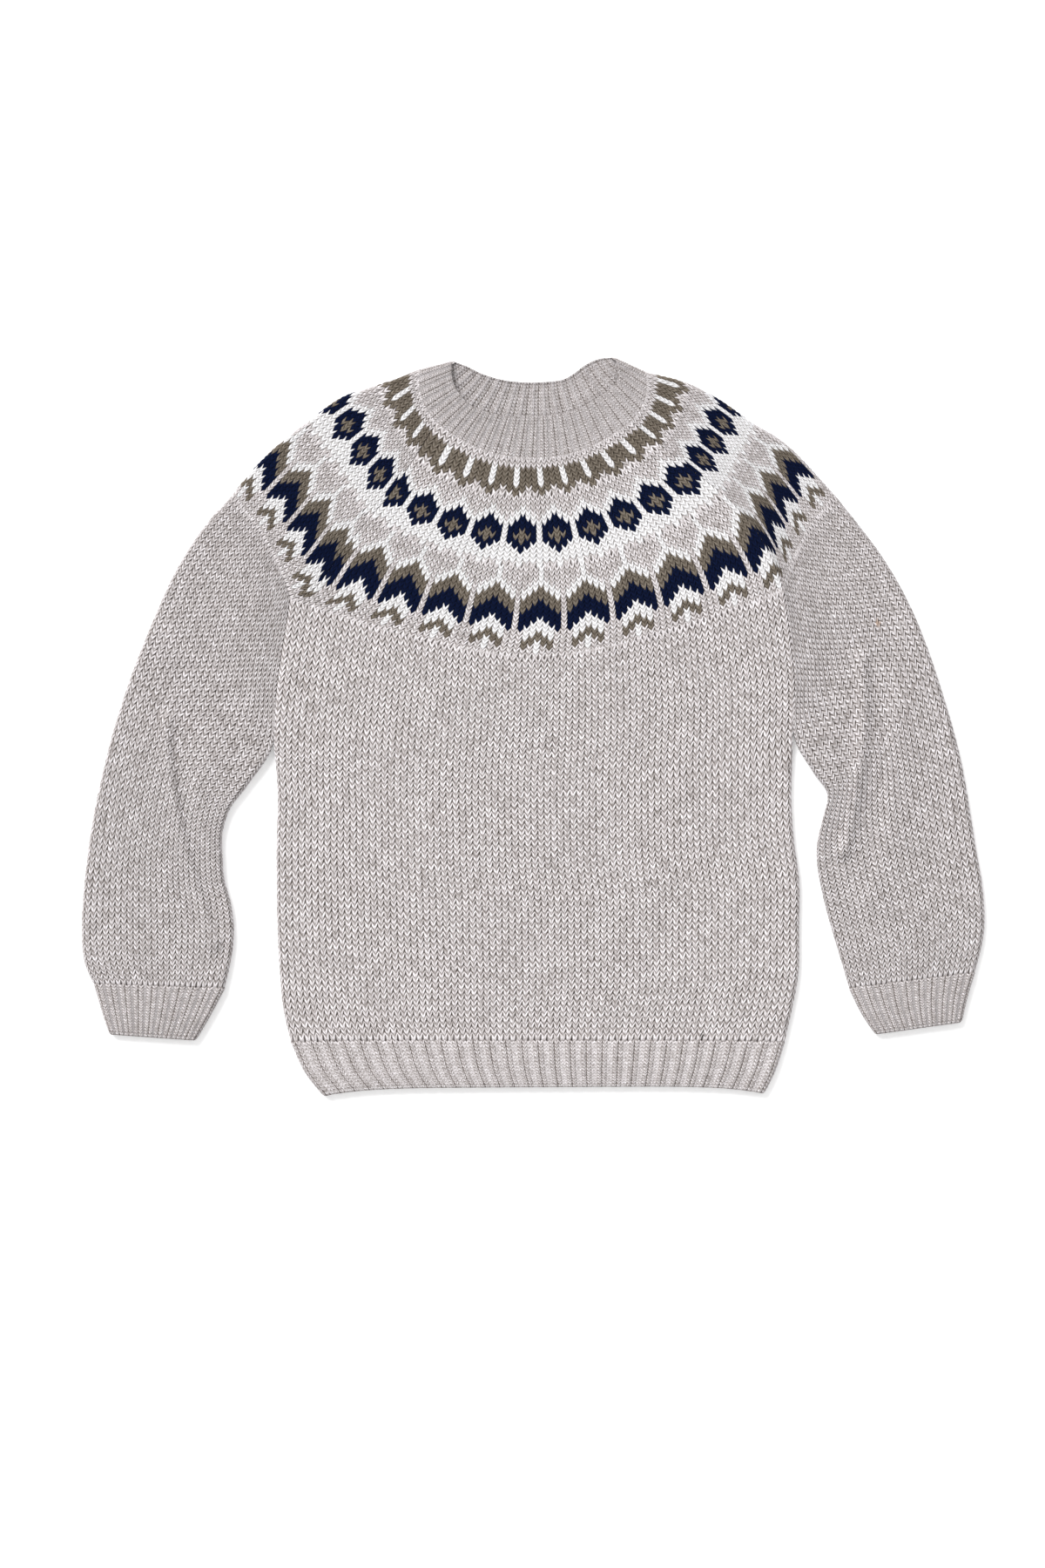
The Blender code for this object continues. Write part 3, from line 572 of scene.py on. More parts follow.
class Swatch:
    """Knitting over the points of its rows: a closed shell with every stitch on its outer face."""

    def __init__(self, rows, stitches, detail, cloth, joins=(), inside_too=False, gauge=1.0):
        self.outer = np.array([row[0] for row in rows])
        self.inner = np.array([row[1] for row in rows])
        self.rows, self.columns = len(rows) - 1, (len(rows[0][0]) - 1) // ACROSS
        self.stitches, self.detail, self.cloth, self.inside_too = stitches, detail, cloth, inside_too
        self.gauge, self.joins = gauge, joins
        self.fine_rows, self.fine_columns = self.rows * detail, self.columns * ACROSS
        self.swell = rib_swell(self.columns) if stitches is RIB else None
        self.edge_dips = {}
        self.random = np.random.default_rng(SEED + self.rows + self.columns)

    def pattern(self, field):
        """A field of each stitch over the fine points, shared out where two columns meet."""
        kinds = [self.stitches[i % len(self.stitches)] for i in range(self.columns)]
        if field == "drawn":
            table = np.array([kind.drawn for kind in kinds])[None]
        else:
            levels = np.linspace(0, len(KNIT.stands), self.detail, endpoint=False).astype(int)
            table = np.array([[kind.stands[level] for kind in kinds] for level in levels])
        flat = table.reshape(len(table), -1)
        flat = np.concatenate([flat, flat[:, :1]], axis=1)
        starts = np.arange(ACROSS, self.fine_columns, ACROSS)
        flat[:, starts] = (flat[:, starts] + flat[:, starts - ACROSS]) / 2
        return flat

    def flat(self):
        """Longest row, longest column and area of the cloth, in metres."""
        across, up = np.diff(self.outer, axis=1), np.diff(self.outer, axis=0)
        cells = np.linalg.norm(np.cross(across[:-1], up[:, :-1]), axis=-1)
        longest_row = np.linalg.norm(across, axis=-1).sum(axis=1).max()
        longest_column = np.linalg.norm(up, axis=-1).sum(axis=0).max()
        return np.array([longest_row * MM, longest_column * MM, cells.sum() * MM**2])

    def drawn_rows(self):
        """Each fine point's place along its column, in rows."""
        line = np.arange(self.fine_rows + 1)[:, None] / self.detail
        fade = np.ones_like(line)
        if "bottom" not in self.joins:
            fade = np.minimum(fade, line)
        if "top" not in self.joins:
            fade = np.minimum(fade, self.rows - line)
        uneven = self.random.normal(0.0, UNEVEN_ROWS, (self.rows + 1, self.columns + 1))
        uneven = uneven.repeat(self.detail, axis=0)[: self.fine_rows + 1].repeat(ACROSS, axis=1)
        place = line + fade * (self.pattern("drawn") + uneven[:, : self.fine_columns + 1])
        if "bottom" in self.joins:
            place[0] = -TUCK
        return place

    def over(self, grid, place):
        low = np.clip(np.floor(place).astype(int), 0, self.rows - 1)
        share = (place - low)[..., None]
        across = np.broadcast_to(np.arange(self.fine_columns + 1), place.shape)
        return (1 - share) * grid[low, across] + share * grid[low + 1, across]

    def dips(self):
        """How far the edges are drawn in, falling off over a stitch from each of them."""
        r = np.arange(self.fine_rows + 1)[:, None] / self.detail
        c = np.arange(self.fine_columns + 1)[None] / ACROSS
        away = {"bottom": r, "top": self.rows - r, "start": c, "end": self.columns - c}
        dip = np.zeros((self.fine_rows + 1, self.fine_columns + 1))
        for edge, depth in self.edge_dips.items():
            dip = np.maximum(dip, depth / MM * np.clip(1 - away[edge] / DIP_REACH, 0.0, 1.0) ** 2)
        return dip

    def points(self):
        """The outer and the inner points, the painted shade on each of them, and the inner ones' spacing."""
        place = self.drawn_rows()
        outer, inner = self.over(self.outer, place), self.over(self.inner, place)
        inward = inner - outer
        inward /= np.linalg.norm(inward, axis=-1)[..., None]
        stands = np.tile(self.pattern("stands"), (self.rows, 1))
        stands = np.vstack([stands, stands[:1]])
        if "top" in self.joins:
            stands[-1] = np.maximum(stands[-1], LAST_STANDS)
        uneven = 1 + self.random.normal(0.0, UNEVEN_RELIEF, (self.rows + 1, self.columns + 1))
        uneven = uneven.repeat(self.detail, axis=0)[: self.fine_rows + 1].repeat(ACROSS, axis=1)
        relief = self.gauge * self.cloth.relief / MM * (1 - stands) * uneven[:, : self.fine_columns + 1]
        dip = self.dips()
        shell = self.cloth.shell / MM
        # painted shade: darker down in a rib's valley and where an edge is drawn in
        light = 0.0 if self.swell is None else self.swell - 1
        shade = np.clip(stands * (1 + (1 - VALLEY_SHADE) * light) - EDGE_SHADE * dip, 0.0, 1.0)
        if "bottom" in self.joins:
            dip[0] += TUCK_SINK
            shade[0] = np.maximum(shade[0], LAST_STANDS)
        if self.inside_too:
            relief = np.minimum(relief, (shell - LEAST_SHELL) / 2)
            skin = outer + (relief + dip)[..., None] * inward
            lining = outer + (shell + dip - relief)[..., None] * inward
            # the painted shade on the inner face, for a piece with both faces
            inner_shade = stands * (1 - (1 - VALLEY_SHADE) * (1 + light)) - EDGE_SHADE * dip
            return skin, lining, shade, np.clip(inner_shade, 0.0, 1.0), (1, 1)
        skin = outer + np.minimum(relief + dip, shell - LEAST_SHELL)[..., None] * inward
        coarse = (slice(None), slice(None, None, ACROSS))
        inward = self.inner[coarse] - self.outer[coarse]
        inward /= np.linalg.norm(inward, axis=-1)[..., None]
        lining = self.inner[coarse] - (WALL - shell) * inward
        return skin, lining, shade, np.full(lining.shape[:2], LINING_SHADE), (self.detail, ACROSS)


def grid_faces(rows, columns, first, back):
    """Quads of a grid of points whose numbers start at first."""
    corner = first + np.arange(rows)[:, None] * (columns + 1) + np.arange(columns)[None]
    quads = np.stack([corner, corner + 1, corner + columns + 2, corner + columns + 1], axis=-1).reshape(-1, 4)
    return quads[:, ::-1] if back else quads


def rim(rows, columns, step_rows, step_columns):
    """Grid places round an edge, counter-clockwise, as spans between the lining's points."""
    corners = [(0, 0), (0, columns), (rows, columns), (rows, 0), (0, 0)]
    spans = []
    for (r0, c0), (r1, c1) in zip(corners, corners[1:]):
        step = step_columns if r0 == r1 else step_rows
        count = (abs(r1 - r0) + abs(c1 - c0)) // step
        way = (np.sign(r1 - r0), np.sign(c1 - c0))
        for first in range(0, count * step, step):
            spans.append([(r0 + way[0] * k, c0 + way[1] * k) for k in range(first, first + step + 1)])
    return spans


def add_knit(name, swatches, yarns, node, plain_yarn):
    """One piece from swatches that share an edge. yarns has each swatch's colours, by row and column."""
    points, faces, face_colours, uvs, out_of_painted_shade, stitch_places = [], [], [], [], [], []
    first = 0
    for number, (swatch, colours) in enumerate(zip(swatches, yarns)):
        skin, lining, stands, lining_painted_shade, (step_r, step_c) = swatch.points()
        rows, columns = swatch.fine_rows, swatch.fine_columns
        low_rows, low_columns = rows // step_r, columns // step_c
        lining_first = first + skin.shape[0] * skin.shape[1]
        r, c = rows // 2, columns // 2
        side = np.cross(skin[r, c + 2] - skin[r, c], skin[r + 2, c] - skin[r, c])
        turned = side @ (swatch.outer[swatch.rows // 2, c] - swatch.inner[swatch.rows // 2, c]) < 0
        skin_quads = grid_faces(rows, columns, first, turned)
        lining_quads = grid_faces(low_rows, low_columns, lining_first, not turned)
        edges = []
        for span in rim(rows, columns, step_r, step_c):
            upper = [first + r * (columns + 1) + c for r, c in span]
            ends = span[0], span[-1]
            lower = [lining_first + r // step_r * (low_columns + 1) + c // step_c for r, c in ends]
            face = upper[::-1] + lower
            edges.append(face[::-1] if turned else face)
        points += [skin.reshape(-1, 3), lining.reshape(-1, 3)]
        faces += skin_quads.tolist() + lining_quads.tolist() + edges
        per_face = colours.repeat(swatch.detail, axis=0).repeat(ACROSS, axis=1).reshape(-1, 4)
        rest = len(lining_quads) * 4 + sum(len(face) for face in edges)
        face_colours += [per_face.repeat(4, axis=0), np.tile(plain_yarn, (rest, 1))]
        # each point's painted shade, from 0 darkest to 1 where none is painted
        out_of_painted_shade += [stands.ravel(), lining_painted_shade.ravel()]
        r, c = np.mgrid[0 : rows + 1, 0 : columns + 1]
        apart = np.full(r.shape, SWATCH_APART * number)
        fine_place = np.stack([c / ACROSS, r / swatch.detail, apart], axis=-1)
        stitch_places += [fine_place.reshape(-1, 3), fine_place[::step_r, ::step_c].reshape(-1, 3)]
        uvs.append(sheet_uvs(rows, columns, skin_quads - first, number, SKIN_BAND))
        uvs.append(sheet_uvs(low_rows, low_columns, lining_quads - lining_first, number, LINING_BAND))
        uvs.append(edge_uvs(edges, number))
        first = lining_first + lining.shape[0] * lining.shape[1]
    mesh = bpy.data.meshes.new(name)
    mesh.from_pydata((np.vstack(points) * MM).tolist(), [], faces)
    for attribute, kind, domain, field, values in (
        ("yarn", "FLOAT_COLOR", "CORNER", "color", np.vstack(face_colours)),
        ("out_of_painted_shade", "FLOAT", "POINT", "value", np.concatenate(out_of_painted_shade)),
        ("stitch", "FLOAT_VECTOR", "POINT", "vector", np.vstack(stitch_places)),
    ):
        mesh.attributes.new(attribute, kind, domain).data.foreach_set(field, values.ravel())
    places = np.vstack(uvs)
    places[:, 0] /= len(swatches)
    mesh.uv_layers.new(name="OFBake").data.foreach_set("uv", places.ravel())
    mesh.shade_smooth()
    piece = bpy.data.objects.new(name, mesh)
    bpy.context.scene.collection.objects.link(piece)
    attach(piece, "root")
    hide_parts(node)
    return piece


def sheet_uvs(rows, columns, quads, number, band):
    """Where a grid's corners lie on the unwrapped picture, one unit wide for each swatch."""
    r, c = np.divmod(quads.ravel(), columns + 1)
    u = number + MARGIN + (1 - 2 * MARGIN) * c / columns
    v = band[0] + (band[1] - band[0]) * (MARGIN + (1 - 2 * MARGIN) * r / rows)
    return np.stack([u, v], axis=-1)


def edge_uvs(edges, number):
    """Where the rim's faces lie on the unwrapped picture: a strip of narrow cells."""
    low, high = RIM_BAND
    places = []
    for i, face in enumerate(edges):
        turn = 2 * np.pi * np.arange(len(face)) / len(face)
        u = (i + 0.5 + RIM_CELL * np.cos(turn)) / len(edges)
        v = low + (high - low) * (0.5 + RIM_CELL * np.sin(turn))
        places.append(np.stack([number + MARGIN + (1 - 2 * MARGIN) * u, v], axis=-1))
    return np.vstack(places)


def settings():
    scene = bpy.context.scene
    return scene.sweater_cloth, scene.sweater_yarn, scene.sweater_stage


def yarn_colours(yarn):
    """Each yarn's colour, with how strongly it is flecked in its alpha."""
    colours = {".": yarn.main, "w": yarn.white, "o": yarn.olive, "n": yarn.navy}
    return {letter: (*colour, FLECKS[letter]) for letter, colour in colours.items()}


# light below 1 darkens the wool, as painted shade on the sleeves
def plain_colours(swatch, colours, light=1.0):
    return np.tile(np.array(colours["."]) * (light, light, light, 1.0), (swatch.rows, swatch.columns, 1))


def chart_colours(swatch, band, phase, colours):
    """A band's colours, charted from the middle of the section."""
    place = np.arange(swatch.columns) - (swatch.columns - 1) // 2 + phase
    to_motif = np.abs((place + band.repeat // 2) % band.repeat - band.repeat // 2)
    return np.array([[colours[row[i]] for i in to_motif] for row in band.rows])


def add_specks(piece):
    """Colours the stitches under each speck."""
    mesh = piece.data
    attribute = mesh.attributes["yarn"].data
    colours = np.empty(len(mesh.loops) * 4)
    attribute.foreach_get("color", colours)
    colours = colours.reshape(-1, 4)
    owners = np.empty(len(mesh.loops), int)
    mesh.loops.foreach_get("vertex_index", owners)
    places = np.empty(len(mesh.vertices) * 3)
    mesh.vertices.foreach_get("co", places)
    places = places.reshape(-1, 3)[owners] / MM
    for speck in SPECKS:
        near = np.hypot(places[:, 0] - speck.x, places[:, 1] - speck.y) < speck.radius
        colours[near & (places[:, 2] > WALL), :3] = linear(speck.red, speck.green, speck.blue)
    attribute.foreach_set("color", colours.ravel())


class Nodes:
    """Short calls for the nodes of a tree, placed in columns."""

    def __init__(self, tree):
        self.tree, self.count = tree, 0

    def add(self, kind, inputs=None, **fields):
        node = self.tree.nodes.new(kind)
        node.location = (180 * (self.count % 8), -260 * (self.count // 8))
        self.count += 1
        for field, value in fields.items():
            setattr(node, field, value)
        for key, value in (inputs or {}).items():
            if isinstance(value, bpy.types.NodeSocket):
                self.tree.links.new(value, node.inputs[key])
            else:
                node.inputs[key].default_value = value
        return node

    def math(self, operation, *values):
        return self.add("ShaderNodeMath", dict(enumerate(values)), operation=operation).outputs[0]

    def spread(self, value, low, high, to_low, to_high):
        inputs = {"Value": value, "From Min": low, "From Max": high, "To Min": to_low, "To Max": to_high}
        return self.add("ShaderNodeMapRange", inputs).outputs["Result"]


def group(name, inputs, outputs):
    """A shader node group with its named sockets, and the nodes that stand for them."""
    tree = bpy.data.node_groups.new(name, "ShaderNodeTree")
    for socket, kind, value in inputs:
        made = tree.interface.new_socket(socket, in_out="INPUT", socket_type=kind)
        if value is not None:
            made.default_value = value
    for socket, kind in outputs:
        tree.interface.new_socket(socket, in_out="OUTPUT", socket_type=kind)
    nodes = Nodes(tree)
    return nodes, nodes.add("NodeGroupInput").outputs, nodes.add("NodeGroupOutput").inputs


def heather_group():
    """Flecks of lighter and darker fibre along a yarn, and the shade painted into the hollows between
    stitches.
    """
    nodes, given, out = group(
        "Heather",
        [
            ("Yarn", "NodeSocketColor", (0.6, 0.55, 0.5, 1.0)),
            ("Flecked", "NodeSocketFloat", 1.0),
            ("Stitch", "NodeSocketVector", None),
            ("Out of painted shade", "NodeSocketFloat", 1.0),
            ("Streak", "NodeSocketFloat", 0.22),
            ("Fibre", "NodeSocketFloat", 0.3),
            ("Hollow shade", "NodeSocketFloat", 0.45),
        ],
        [("Color", "NodeSocketColor")],
    )
    parts = nodes.add("ShaderNodeSeparateXYZ", {0: given["Stitch"]}).outputs
    row = nodes.math("FLOOR", parts["Y"])
    part_of_row = nodes.math("FRACT", parts["Y"])
    streak_place = nodes.add("ShaderNodeCombineXYZ", {
        0: nodes.math("MULTIPLY", parts["X"], STREAK_ALONG),
        1: nodes.math("MULTIPLY", row, STREAK_BETWEEN),
        2: parts["Z"],
    })
    streak = nodes.add("ShaderNodeTexNoise", {"Vector": streak_place.outputs[0], "Scale": 1.0, "Detail": 2.0})
    fibre_place = nodes.add("ShaderNodeCombineXYZ", {
        0: nodes.math("MULTIPLY", parts["X"], FIBRE_ALONG),
        1: nodes.math("MULTIPLY", parts["Y"], FIBRE_UP),
        2: nodes.math("ADD", parts["Z"], nodes.math("MULTIPLY", part_of_row, FIBRE_TURN)),
    })
    fibre = nodes.add("ShaderNodeTexNoise", {"Vector": fibre_place.outputs[0], "Scale": 1.0, "Detail": 4.0})
    streaks = nodes.spread(streak.outputs["Fac"], *STREAK_NOISE, -1.0, 1.0)
    fibres = nodes.spread(fibre.outputs["Fac"], *FIBRE_NOISE, -1.0, 1.0)
    streaked = nodes.math("MULTIPLY", streaks, given["Streak"])
    fibred = nodes.math("MULTIPLY", fibres, given["Fibre"])
    flecks = nodes.math("MULTIPLY", nodes.math("ADD", streaked, fibred), given["Flecked"])
    # painted shade: the wool is darkened in the hollows between stitches, the more the less a point stands
    # out
    depth = nodes.math("POWER", nodes.math("SUBTRACT", 1.0, given["Out of painted shade"]), HOLLOW_SHADE_POWER)
    strength = nodes.spread(given["Flecked"], *HOLLOW_SHADE_BY_FLECKS)
    hollow_shade = nodes.math("MULTIPLY", depth, nodes.math("MULTIPLY", given["Hollow shade"], strength))
    shade = nodes.math("MULTIPLY", nodes.math("ADD", 1.0, flecks), nodes.math("SUBTRACT", 1.0, hollow_shade))
    tint = nodes.add("ShaderNodeCombineColor", {
        "Red": shade,
        "Green": nodes.math("POWER", shade, GREEN_POWER),
        "Blue": nodes.math("POWER", shade, BLUE_POWER),
    })
    mixed = nodes.add("ShaderNodeMix", {"Factor": 1.0}, data_type="RGBA", blend_type="MULTIPLY")
    nodes.tree.links.new(given["Yarn"], mixed.inputs[6])
    nodes.tree.links.new(tint.outputs[0], mixed.inputs[7])
    nodes.tree.links.new(mixed.outputs[2], out["Color"])
    return nodes.tree


def yarn_height_group():
    """The plies of a yarn twisted round each other, with stray fibres over them."""
    nodes, given, out = group(
        "Yarn height",
        [
            ("Stitch", "NodeSocketVector", None),
            ("Plies", "NodeSocketFloat", 3.0),
            ("Fibre", "NodeSocketFloat", 0.6),
        ],
        [("Height", "NodeSocketFloat")],
    )
    parts = nodes.add("ShaderNodeSeparateXYZ", {0: given["Stitch"]}).outputs
    across = nodes.math("MULTIPLY", nodes.math("FRACT", parts["X"]), 2.0)
    leg = nodes.math("ABSOLUTE", nodes.math("SUBTRACT", across, 1.0))
    twist = nodes.math("ADD", leg, nodes.math("MULTIPLY", nodes.math("FRACT", parts["Y"]), PLY_TURN))
    ply = nodes.math("SINE", nodes.math("MULTIPLY", twist, nodes.math("MULTIPLY", given["Plies"], 2 * np.pi)))
    fibre = nodes.add("ShaderNodeTexNoise", {
        "Vector": nodes.add("ShaderNodeTexCoord").outputs["Object"],
        "Scale": FUZZ_SCALE,
        "Detail": 3.0,
        "Roughness": 0.7,
    })
    fibres = nodes.math("MULTIPLY", fibre.outputs["Fac"], given["Fibre"])
    nodes.tree.links.new(nodes.math("ADD", nodes.math("MULTIPLY", ply, PLY_HEIGHT), fibres), out["Height"])
    return nodes.tree


def wool(name, streak, fibre, hollow_shade):
    """A knitted wool: heather colour, plies and fibres, and the soft sheen of its nap."""
    _, yarn, _ = settings()
    heather = bpy.data.node_groups.get("Heather") or heather_group()
    yarn_height = bpy.data.node_groups.get("Yarn height") or yarn_height_group()
    material = bpy.data.materials.new(name)
    material.use_nodes = True
    nodes = Nodes(material.node_tree)
    shader = material.node_tree.nodes["Principled BSDF"]
    colour = nodes.add("ShaderNodeAttribute", attribute_name="yarn").outputs
    stitch = nodes.add("ShaderNodeAttribute", attribute_name="stitch").outputs["Vector"]
    # the attribute that holds each point's painted shade
    out_of_painted_shade = nodes.add("ShaderNodeAttribute", attribute_name="out_of_painted_shade").outputs["Fac"]
    flecked = nodes.add("ShaderNodeGroup", {
        "Yarn": colour["Color"],
        "Flecked": colour["Alpha"],
        "Stitch": stitch,
        "Out of painted shade": out_of_painted_shade,
        "Streak": streak,
        "Fibre": fibre,
        "Hollow shade": hollow_shade,
    }, node_tree=heather)
    raised = nodes.add("ShaderNodeGroup", {"Stitch": stitch}, node_tree=yarn_height).outputs["Height"]
    bump = nodes.add("ShaderNodeBump", {"Height": raised, "Distance": yarn.fuzz, "Strength": 1.0})
    material.node_tree.links.new(flecked.outputs["Color"], shader.inputs["Base Color"])
    material.node_tree.links.new(bump.outputs["Normal"], shader.inputs["Normal"])
    shader.inputs["Roughness"].default_value = 0.9
    shader.inputs["Specular IOR Level"].default_value = 0.1
    shader.inputs["Sheen Weight"].default_value = 0.04
    shader.inputs["Sheen Roughness"].default_value = 0.5
    return material


def wool_for(slot):
    name = f"{slot}_wool"
    return bpy.data.materials.get(name) or wool(name, *WOOLS[slot])


def knit_piece(node, slot, swatches, yarns=None):
    """Knits a node's piece, in its slot's wool, and works out the size that it was knitted to."""
    colours = yarn_colours(settings()[1])
    yarns = yarns or [plain_colours(swatch, colours) for swatch in swatches]
    piece = add_knit(f"{node}_knit", swatches, yarns, node, colours["."])
    add_specks(piece)
    piece.data.materials.append(wool_for(slot))
    rows, columns, areas = np.transpose([swatch.flat() for swatch in swatches])


class SWEATER_OT_body(bpy.types.Operator):
    """Knit the front and the back of the body"""

    bl_idname = "sweater.knit_body"
    bl_label = "Knit body"

    def execute(self, context):
        cloth, _, _ = settings()
        for name, upper, detail in (("front", True, DETAIL), ("back", False, LOW_DETAIL)):
            rows = knit_rows(BODY, BODY_ROWS)
            points = [knit_row([Stretch(body_layer(row, upper), 0, 1, BODY_COLUMNS)]) for row in rows]
            swatch = Swatch(points, (KNIT,), detail, cloth, ("bottom", "top"))
            swatch.edge_dips = {"start": cloth.seam_dip / 2, "end": cloth.seam_dip / 2}
            knit_piece(name, "plain_knit", [swatch])
        return {"FINISHED"}


class SWEATER_OT_hem(bpy.types.Operator):
    """Knit the ribbed hem"""

    bl_idname = "sweater.knit_hem"
    bl_label = "Knit hem"

    def execute(self, context):
        cloth, _, _ = settings()
        columns = HEM_RIBS * RIB_COLUMNS
        for name, upper in (("hem_rib_front", True), ("hem_rib_back", False)):
            points = []
            for row in knit_rows(HEM, HEM_ROWS)[::-1]:
                points.append(knit_row([Stretch(body_layer(row, upper), 0, 1, columns)], cloth, HEM_KNIT))
            swatch = Swatch(points, RIB, LOW_DETAIL, cloth, ("top",), gauge=RIB_GAUGE)
            swatch.edge_dips = {"bottom": cloth.edge_dip}
            knit_piece(name, "rib_knit", [swatch])
        return {"FINISHED"}


def points_round(table, rows, columns, *rib):
    """The rows of a sleeve or a cuff, each from its inner edge over the top and back underneath."""
    points = []
    for row in knit_rows(table, rows)[::-1]:
        up, down = sleeve_layers(row)
        points.append(knit_row([Stretch(up, 0, 1, columns / 2), Stretch(down, 1, 0, columns / 2)], *rib))
    return points


class SWEATER_OT_sleeves(bpy.types.Operator):
    """Knit both sleeves, each all round"""

    bl_idname = "sweater.knit_sleeves"
    bl_label = "Knit sleeves"

    def execute(self, context):
        cloth, yarn, _ = settings()
        colours = yarn_colours(yarn)
        for name, table in (("sleeve_right", SLEEVE_RIGHT), ("sleeve_left", SLEEVE_LEFT)):
            points = points_round(table, SLEEVE_ROWS, SLEEVE_COLUMNS)
            swatch = Swatch(points, (KNIT,), DETAIL, cloth, ("bottom", "top"))
            swatch.edge_dips = {"start": cloth.seam_dip / 2, "end": cloth.seam_dip / 2}
            # the sleeves' wool is darkened as painted shade
            knit_piece(name, "plain_knit", [swatch], [plain_colours(swatch, colours, SLEEVE_PAINTED_SHADE)])
        return {"FINISHED"}


class SWEATER_OT_cuffs(bpy.types.Operator):
    """Knit the ribbed cuffs, each all round"""

    bl_idname = "sweater.knit_cuffs"
    bl_label = "Knit cuffs"

    def execute(self, context):
        cloth, _, _ = settings()
        for name, table in (("cuff_right", CUFF_RIGHT), ("cuff_left", CUFF_LEFT)):
            points = points_round(table, CUFF_ROWS, 2 * CUFF_RIBS * RIB_COLUMNS, cloth, CUFF_KNIT)
            swatch = Swatch(points, RIB, LOW_DETAIL, cloth, ("top",), gauge=RIB_GAUGE)
            swatch.edge_dips = {"bottom": cloth.edge_dip}
            knit_piece(name, "rib_knit", [swatch])
        return {"FINISHED"}


def pulled(even, across, row, pull, folded):
    """Points at shares across and at rows of an even cloth, pulled along and over its rows."""
    share = 1 - np.abs(2 * across - 1) if folded else across
    up = row / YOKE_ROWS
    along, over = (np.polynomial.polynomial.polyval2d(share, up, np.array(terms)) for terms in pull)
    place = (across + across * (1 - across) * along) * (even.shape[2] - 1)
    row = row + 4 * up * (1 - up) * over
    low_row = np.clip(np.floor(row).astype(int), 0, len(even) - 2)
    low_place = np.clip(np.floor(place).astype(int), 0, even.shape[2] - 2)
    a, b = (row - low_row)[..., None, None], (place - low_place)[..., None, None]
    low = (1 - b) * even[low_row, :, low_place] + b * even[low_row, :, low_place + 1]
    high = (1 - b) * even[low_row + 1, :, low_place] + b * even[low_row + 1, :, low_place + 1]
    return (1 - a) * low + a * high


def yoke_swatches(piece_row, columns, detail, cloth, pull, folded=False):
    """A swatch for each band of the pattern, knitted through the rows that it spans."""
    rows = knit_rows(YOKE, YOKE_ROWS, np.array([row.place for row in YOKE], float))
    even = np.array([piece_row(row, YOKE_FINE) for row in rows])
    swatches, first = [], 0
    for band, count in zip(BANDS, columns):
        last = first + len(band.rows)
        across, row = np.meshgrid(np.linspace(0, 1, count * ACROSS + 1), np.arange(first, last + 1.0))
        points = pulled(even, across, row, pull, folded).transpose(0, 2, 1, 3)
        swatches.append(Swatch(points, (KNIT,), detail, cloth, ("bottom", "top")))
        first = last
    return swatches


class SWEATER_OT_yoke(bpy.types.Operator):
    """Knit the patterned yoke: front, back and over each shoulder"""

    bl_idname = "sweater.knit_yoke"
    bl_label = "Knit yoke"

    def execute(self, context):
        cloth, yarn, _ = settings()
        colours = yarn_colours(yarn)

        for name, upper, detail, pull in (
            ("yoke_front", True, DETAIL, FRONT_PULL),
            ("yoke_back", False, LOW_DETAIL, BACK_PULL),
        ):
            def panel_row(row, count):
                return knit_row([Stretch(Layer(yoke_path(row, upper), upper), 0, 1, count)])

            swatches = yoke_swatches(panel_row, [band.front_columns for band in BANDS], detail, cloth, pull)
            charts = [chart_colours(s, band, band.front_phase, colours) for s, band in zip(swatches, BANDS)]
            knit_piece(name, "patterned_knit", swatches, charts)
        for side, sign in (("right", -1), ("left", 1)):
            def shoulder_row(row, count):
                up, down = shoulder_paths(row, sign)
                layers = Layer(up, True, 0.0, FULL_ROLL), Layer(down, False, 0.0, FULL_ROLL)
                return knit_row([Stretch(layers[0], 0, 1, count / 2), Stretch(layers[1], 1, 0, count / 2)])

            counts = [band.shoulder_columns for band in BANDS]
            swatches = yoke_swatches(shoulder_row, counts, DETAIL, cloth, SHOULDER_PULL, True)
            charts = []
            for swatch, band in zip(swatches, BANDS):
                charts.append(chart_colours(swatch, band, getattr(band, f"{side}_phase"), colours))
            knit_piece(f"yoke_shoulder_{side}", "patterned_knit", swatches, charts)
        return {"FINISHED"}


class SWEATER_OT_neckband(bpy.types.Operator):
    """Knit the ribbed neckband, with both of its faces"""

    bl_idname = "sweater.knit_neckband"
    bl_label = "Knit neckband"

    def execute(self, context):
        cloth, _, _ = settings()
        join = round(NECK_JOIN * NECK_RIBS_BACK) / NECK_RIBS_BACK
        points = []
        for share in np.linspace(0.0, 1.0, NECK_ROWS + 1):
            front = Layer(neck_path(share, True), True, FULL_ROLL, FULL_ROLL)
            back = Layer(neck_path(share, False), False, FULL_ROLL, FULL_ROLL)
            stretches = [
                Stretch(back, join, 0, join * NECK_RIBS_BACK * RIB_COLUMNS),
                Stretch(front, 0, 1, NECK_RIBS_FRONT * RIB_COLUMNS),
                Stretch(back, 1, join, (1 - join) * NECK_RIBS_BACK * RIB_COLUMNS),
            ]
            points.append(knit_row(stretches, cloth, NECK_KNIT))
        swatch = Swatch(points, RIB, LOW_DETAIL, cloth, ("bottom",), inside_too=True, gauge=RIB_GAUGE)
        swatch.edge_dips = {"top": cloth.edge_dip, "start": cloth.seam_dip, "end": cloth.seam_dip}
        knit_piece("neckband", "rib_knit", [swatch])
        return {"FINISHED"}


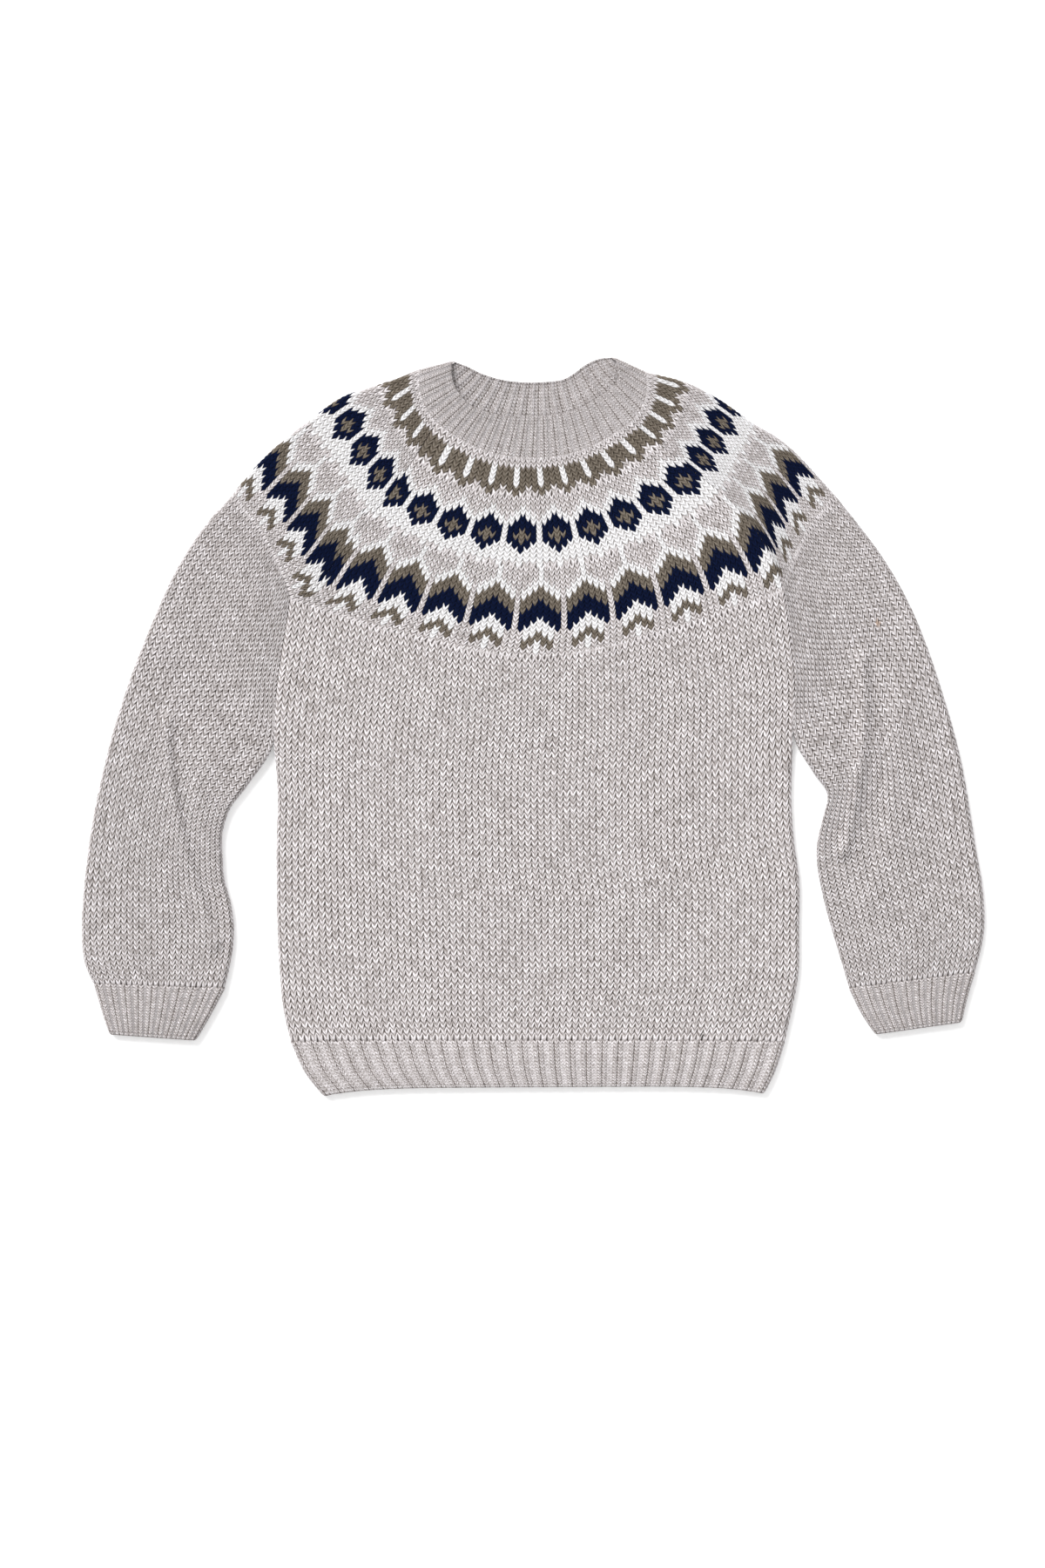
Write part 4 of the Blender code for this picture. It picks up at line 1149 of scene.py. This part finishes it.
class SWEATER_OT_stage(bpy.types.Operator):
    """Set the pale floor, the soft light and the camera straight above"""

    bl_idname = "sweater.set_stage"
    bl_label = "Set stage"

    def execute(self, context):
        _, _, stage = settings()
        bpy.ops.mesh.primitive_plane_add(size=FLOOR_SIZE, location=(0.0, 0.0, -FLOOR_DROP))
        floor = context.object
        floor.name = "floor"
        material = bpy.data.materials.new("floor")
        material.use_nodes = True
        shader = material.node_tree.nodes["Principled BSDF"]
        shader.inputs["Base Color"].default_value = (*stage.floor, 1.0)
        shader.inputs["Roughness"].default_value = 0.8
        shader.inputs["Emission Color"].default_value = (1.0, 1.0, 1.0, 1.0)
        shader.inputs["Emission Strength"].default_value = stage.floor_glow
        floor.data.materials.append(material)
        camera = bpy.data.objects.new("camera", bpy.data.cameras.new("camera"))
        camera.data.lens = stage.lens
        distance = stage.frame_height * stage.lens / camera.data.sensor_width
        camera.location = (*VIEW_MIDDLE, distance)
        context.scene.collection.objects.link(camera)
        context.scene.camera = camera
        light = bpy.data.objects.new("soft light", bpy.data.lights.new("soft light", "SUN"))
        light.data.energy = stage.key
        light.data.angle = stage.key_spread
        light.location = LIGHT_PLACE
        light.rotation_euler = LIGHT_TURN
        context.scene.collection.objects.link(light)
        world = bpy.data.worlds.new("studio")
        world.use_nodes = True
        world.node_tree.nodes["Background"].inputs["Color"].default_value = (1.0, 1.0, 1.0, 1.0)
        world.node_tree.nodes["Background"].inputs["Strength"].default_value = stage.world
        context.scene.world = world
        context.scene.view_settings.view_transform = "Standard"
        return {"FINISHED"}


class SWEATER_PT_panel(bpy.types.Panel):
    """The sweater's pieces, sizes and colours"""

    bl_idname = "SWEATER_PT_panel"
    bl_label = "Fair Isle sweater"
    bl_space_type = "VIEW_3D"
    bl_region_type = "UI"
    bl_category = "Sweater"

    def draw(self, context):
        for group_settings in settings():
            for name in group_settings.__annotations__:
                self.layout.prop(group_settings, name)
        for operator in OPERATORS:
            self.layout.operator(operator.bl_idname)


OPERATORS = (
    SWEATER_OT_stage,
    SWEATER_OT_body,
    SWEATER_OT_hem,
    SWEATER_OT_sleeves,
    SWEATER_OT_cuffs,
    SWEATER_OT_yoke,
    SWEATER_OT_neckband,
)
CLASSES = (SweaterCloth, SweaterYarn, SweaterStage, *OPERATORS, SWEATER_PT_panel)
SETTINGS = {"sweater_cloth": SweaterCloth, "sweater_yarn": SweaterYarn, "sweater_stage": SweaterStage}


def register():
    for cls in CLASSES:
        bpy.utils.register_class(cls)
    for name, cls in SETTINGS.items():
        setattr(bpy.types.Scene, name, bpy.props.PointerProperty(type=cls))


def unregister():
    for name in SETTINGS:
        delattr(bpy.types.Scene, name)
    for cls in reversed(CLASSES):
        bpy.utils.unregister_class(cls)


def main():
    register()
    bpy.ops.sweater.set_stage()
    bpy.ops.sweater.knit_body()
    bpy.ops.sweater.knit_hem()
    bpy.ops.sweater.knit_sleeves()
    bpy.ops.sweater.knit_cuffs()
    bpy.ops.sweater.knit_yoke()
    bpy.ops.sweater.knit_neckband()
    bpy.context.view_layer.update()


if __name__ == "__main__":
    main()
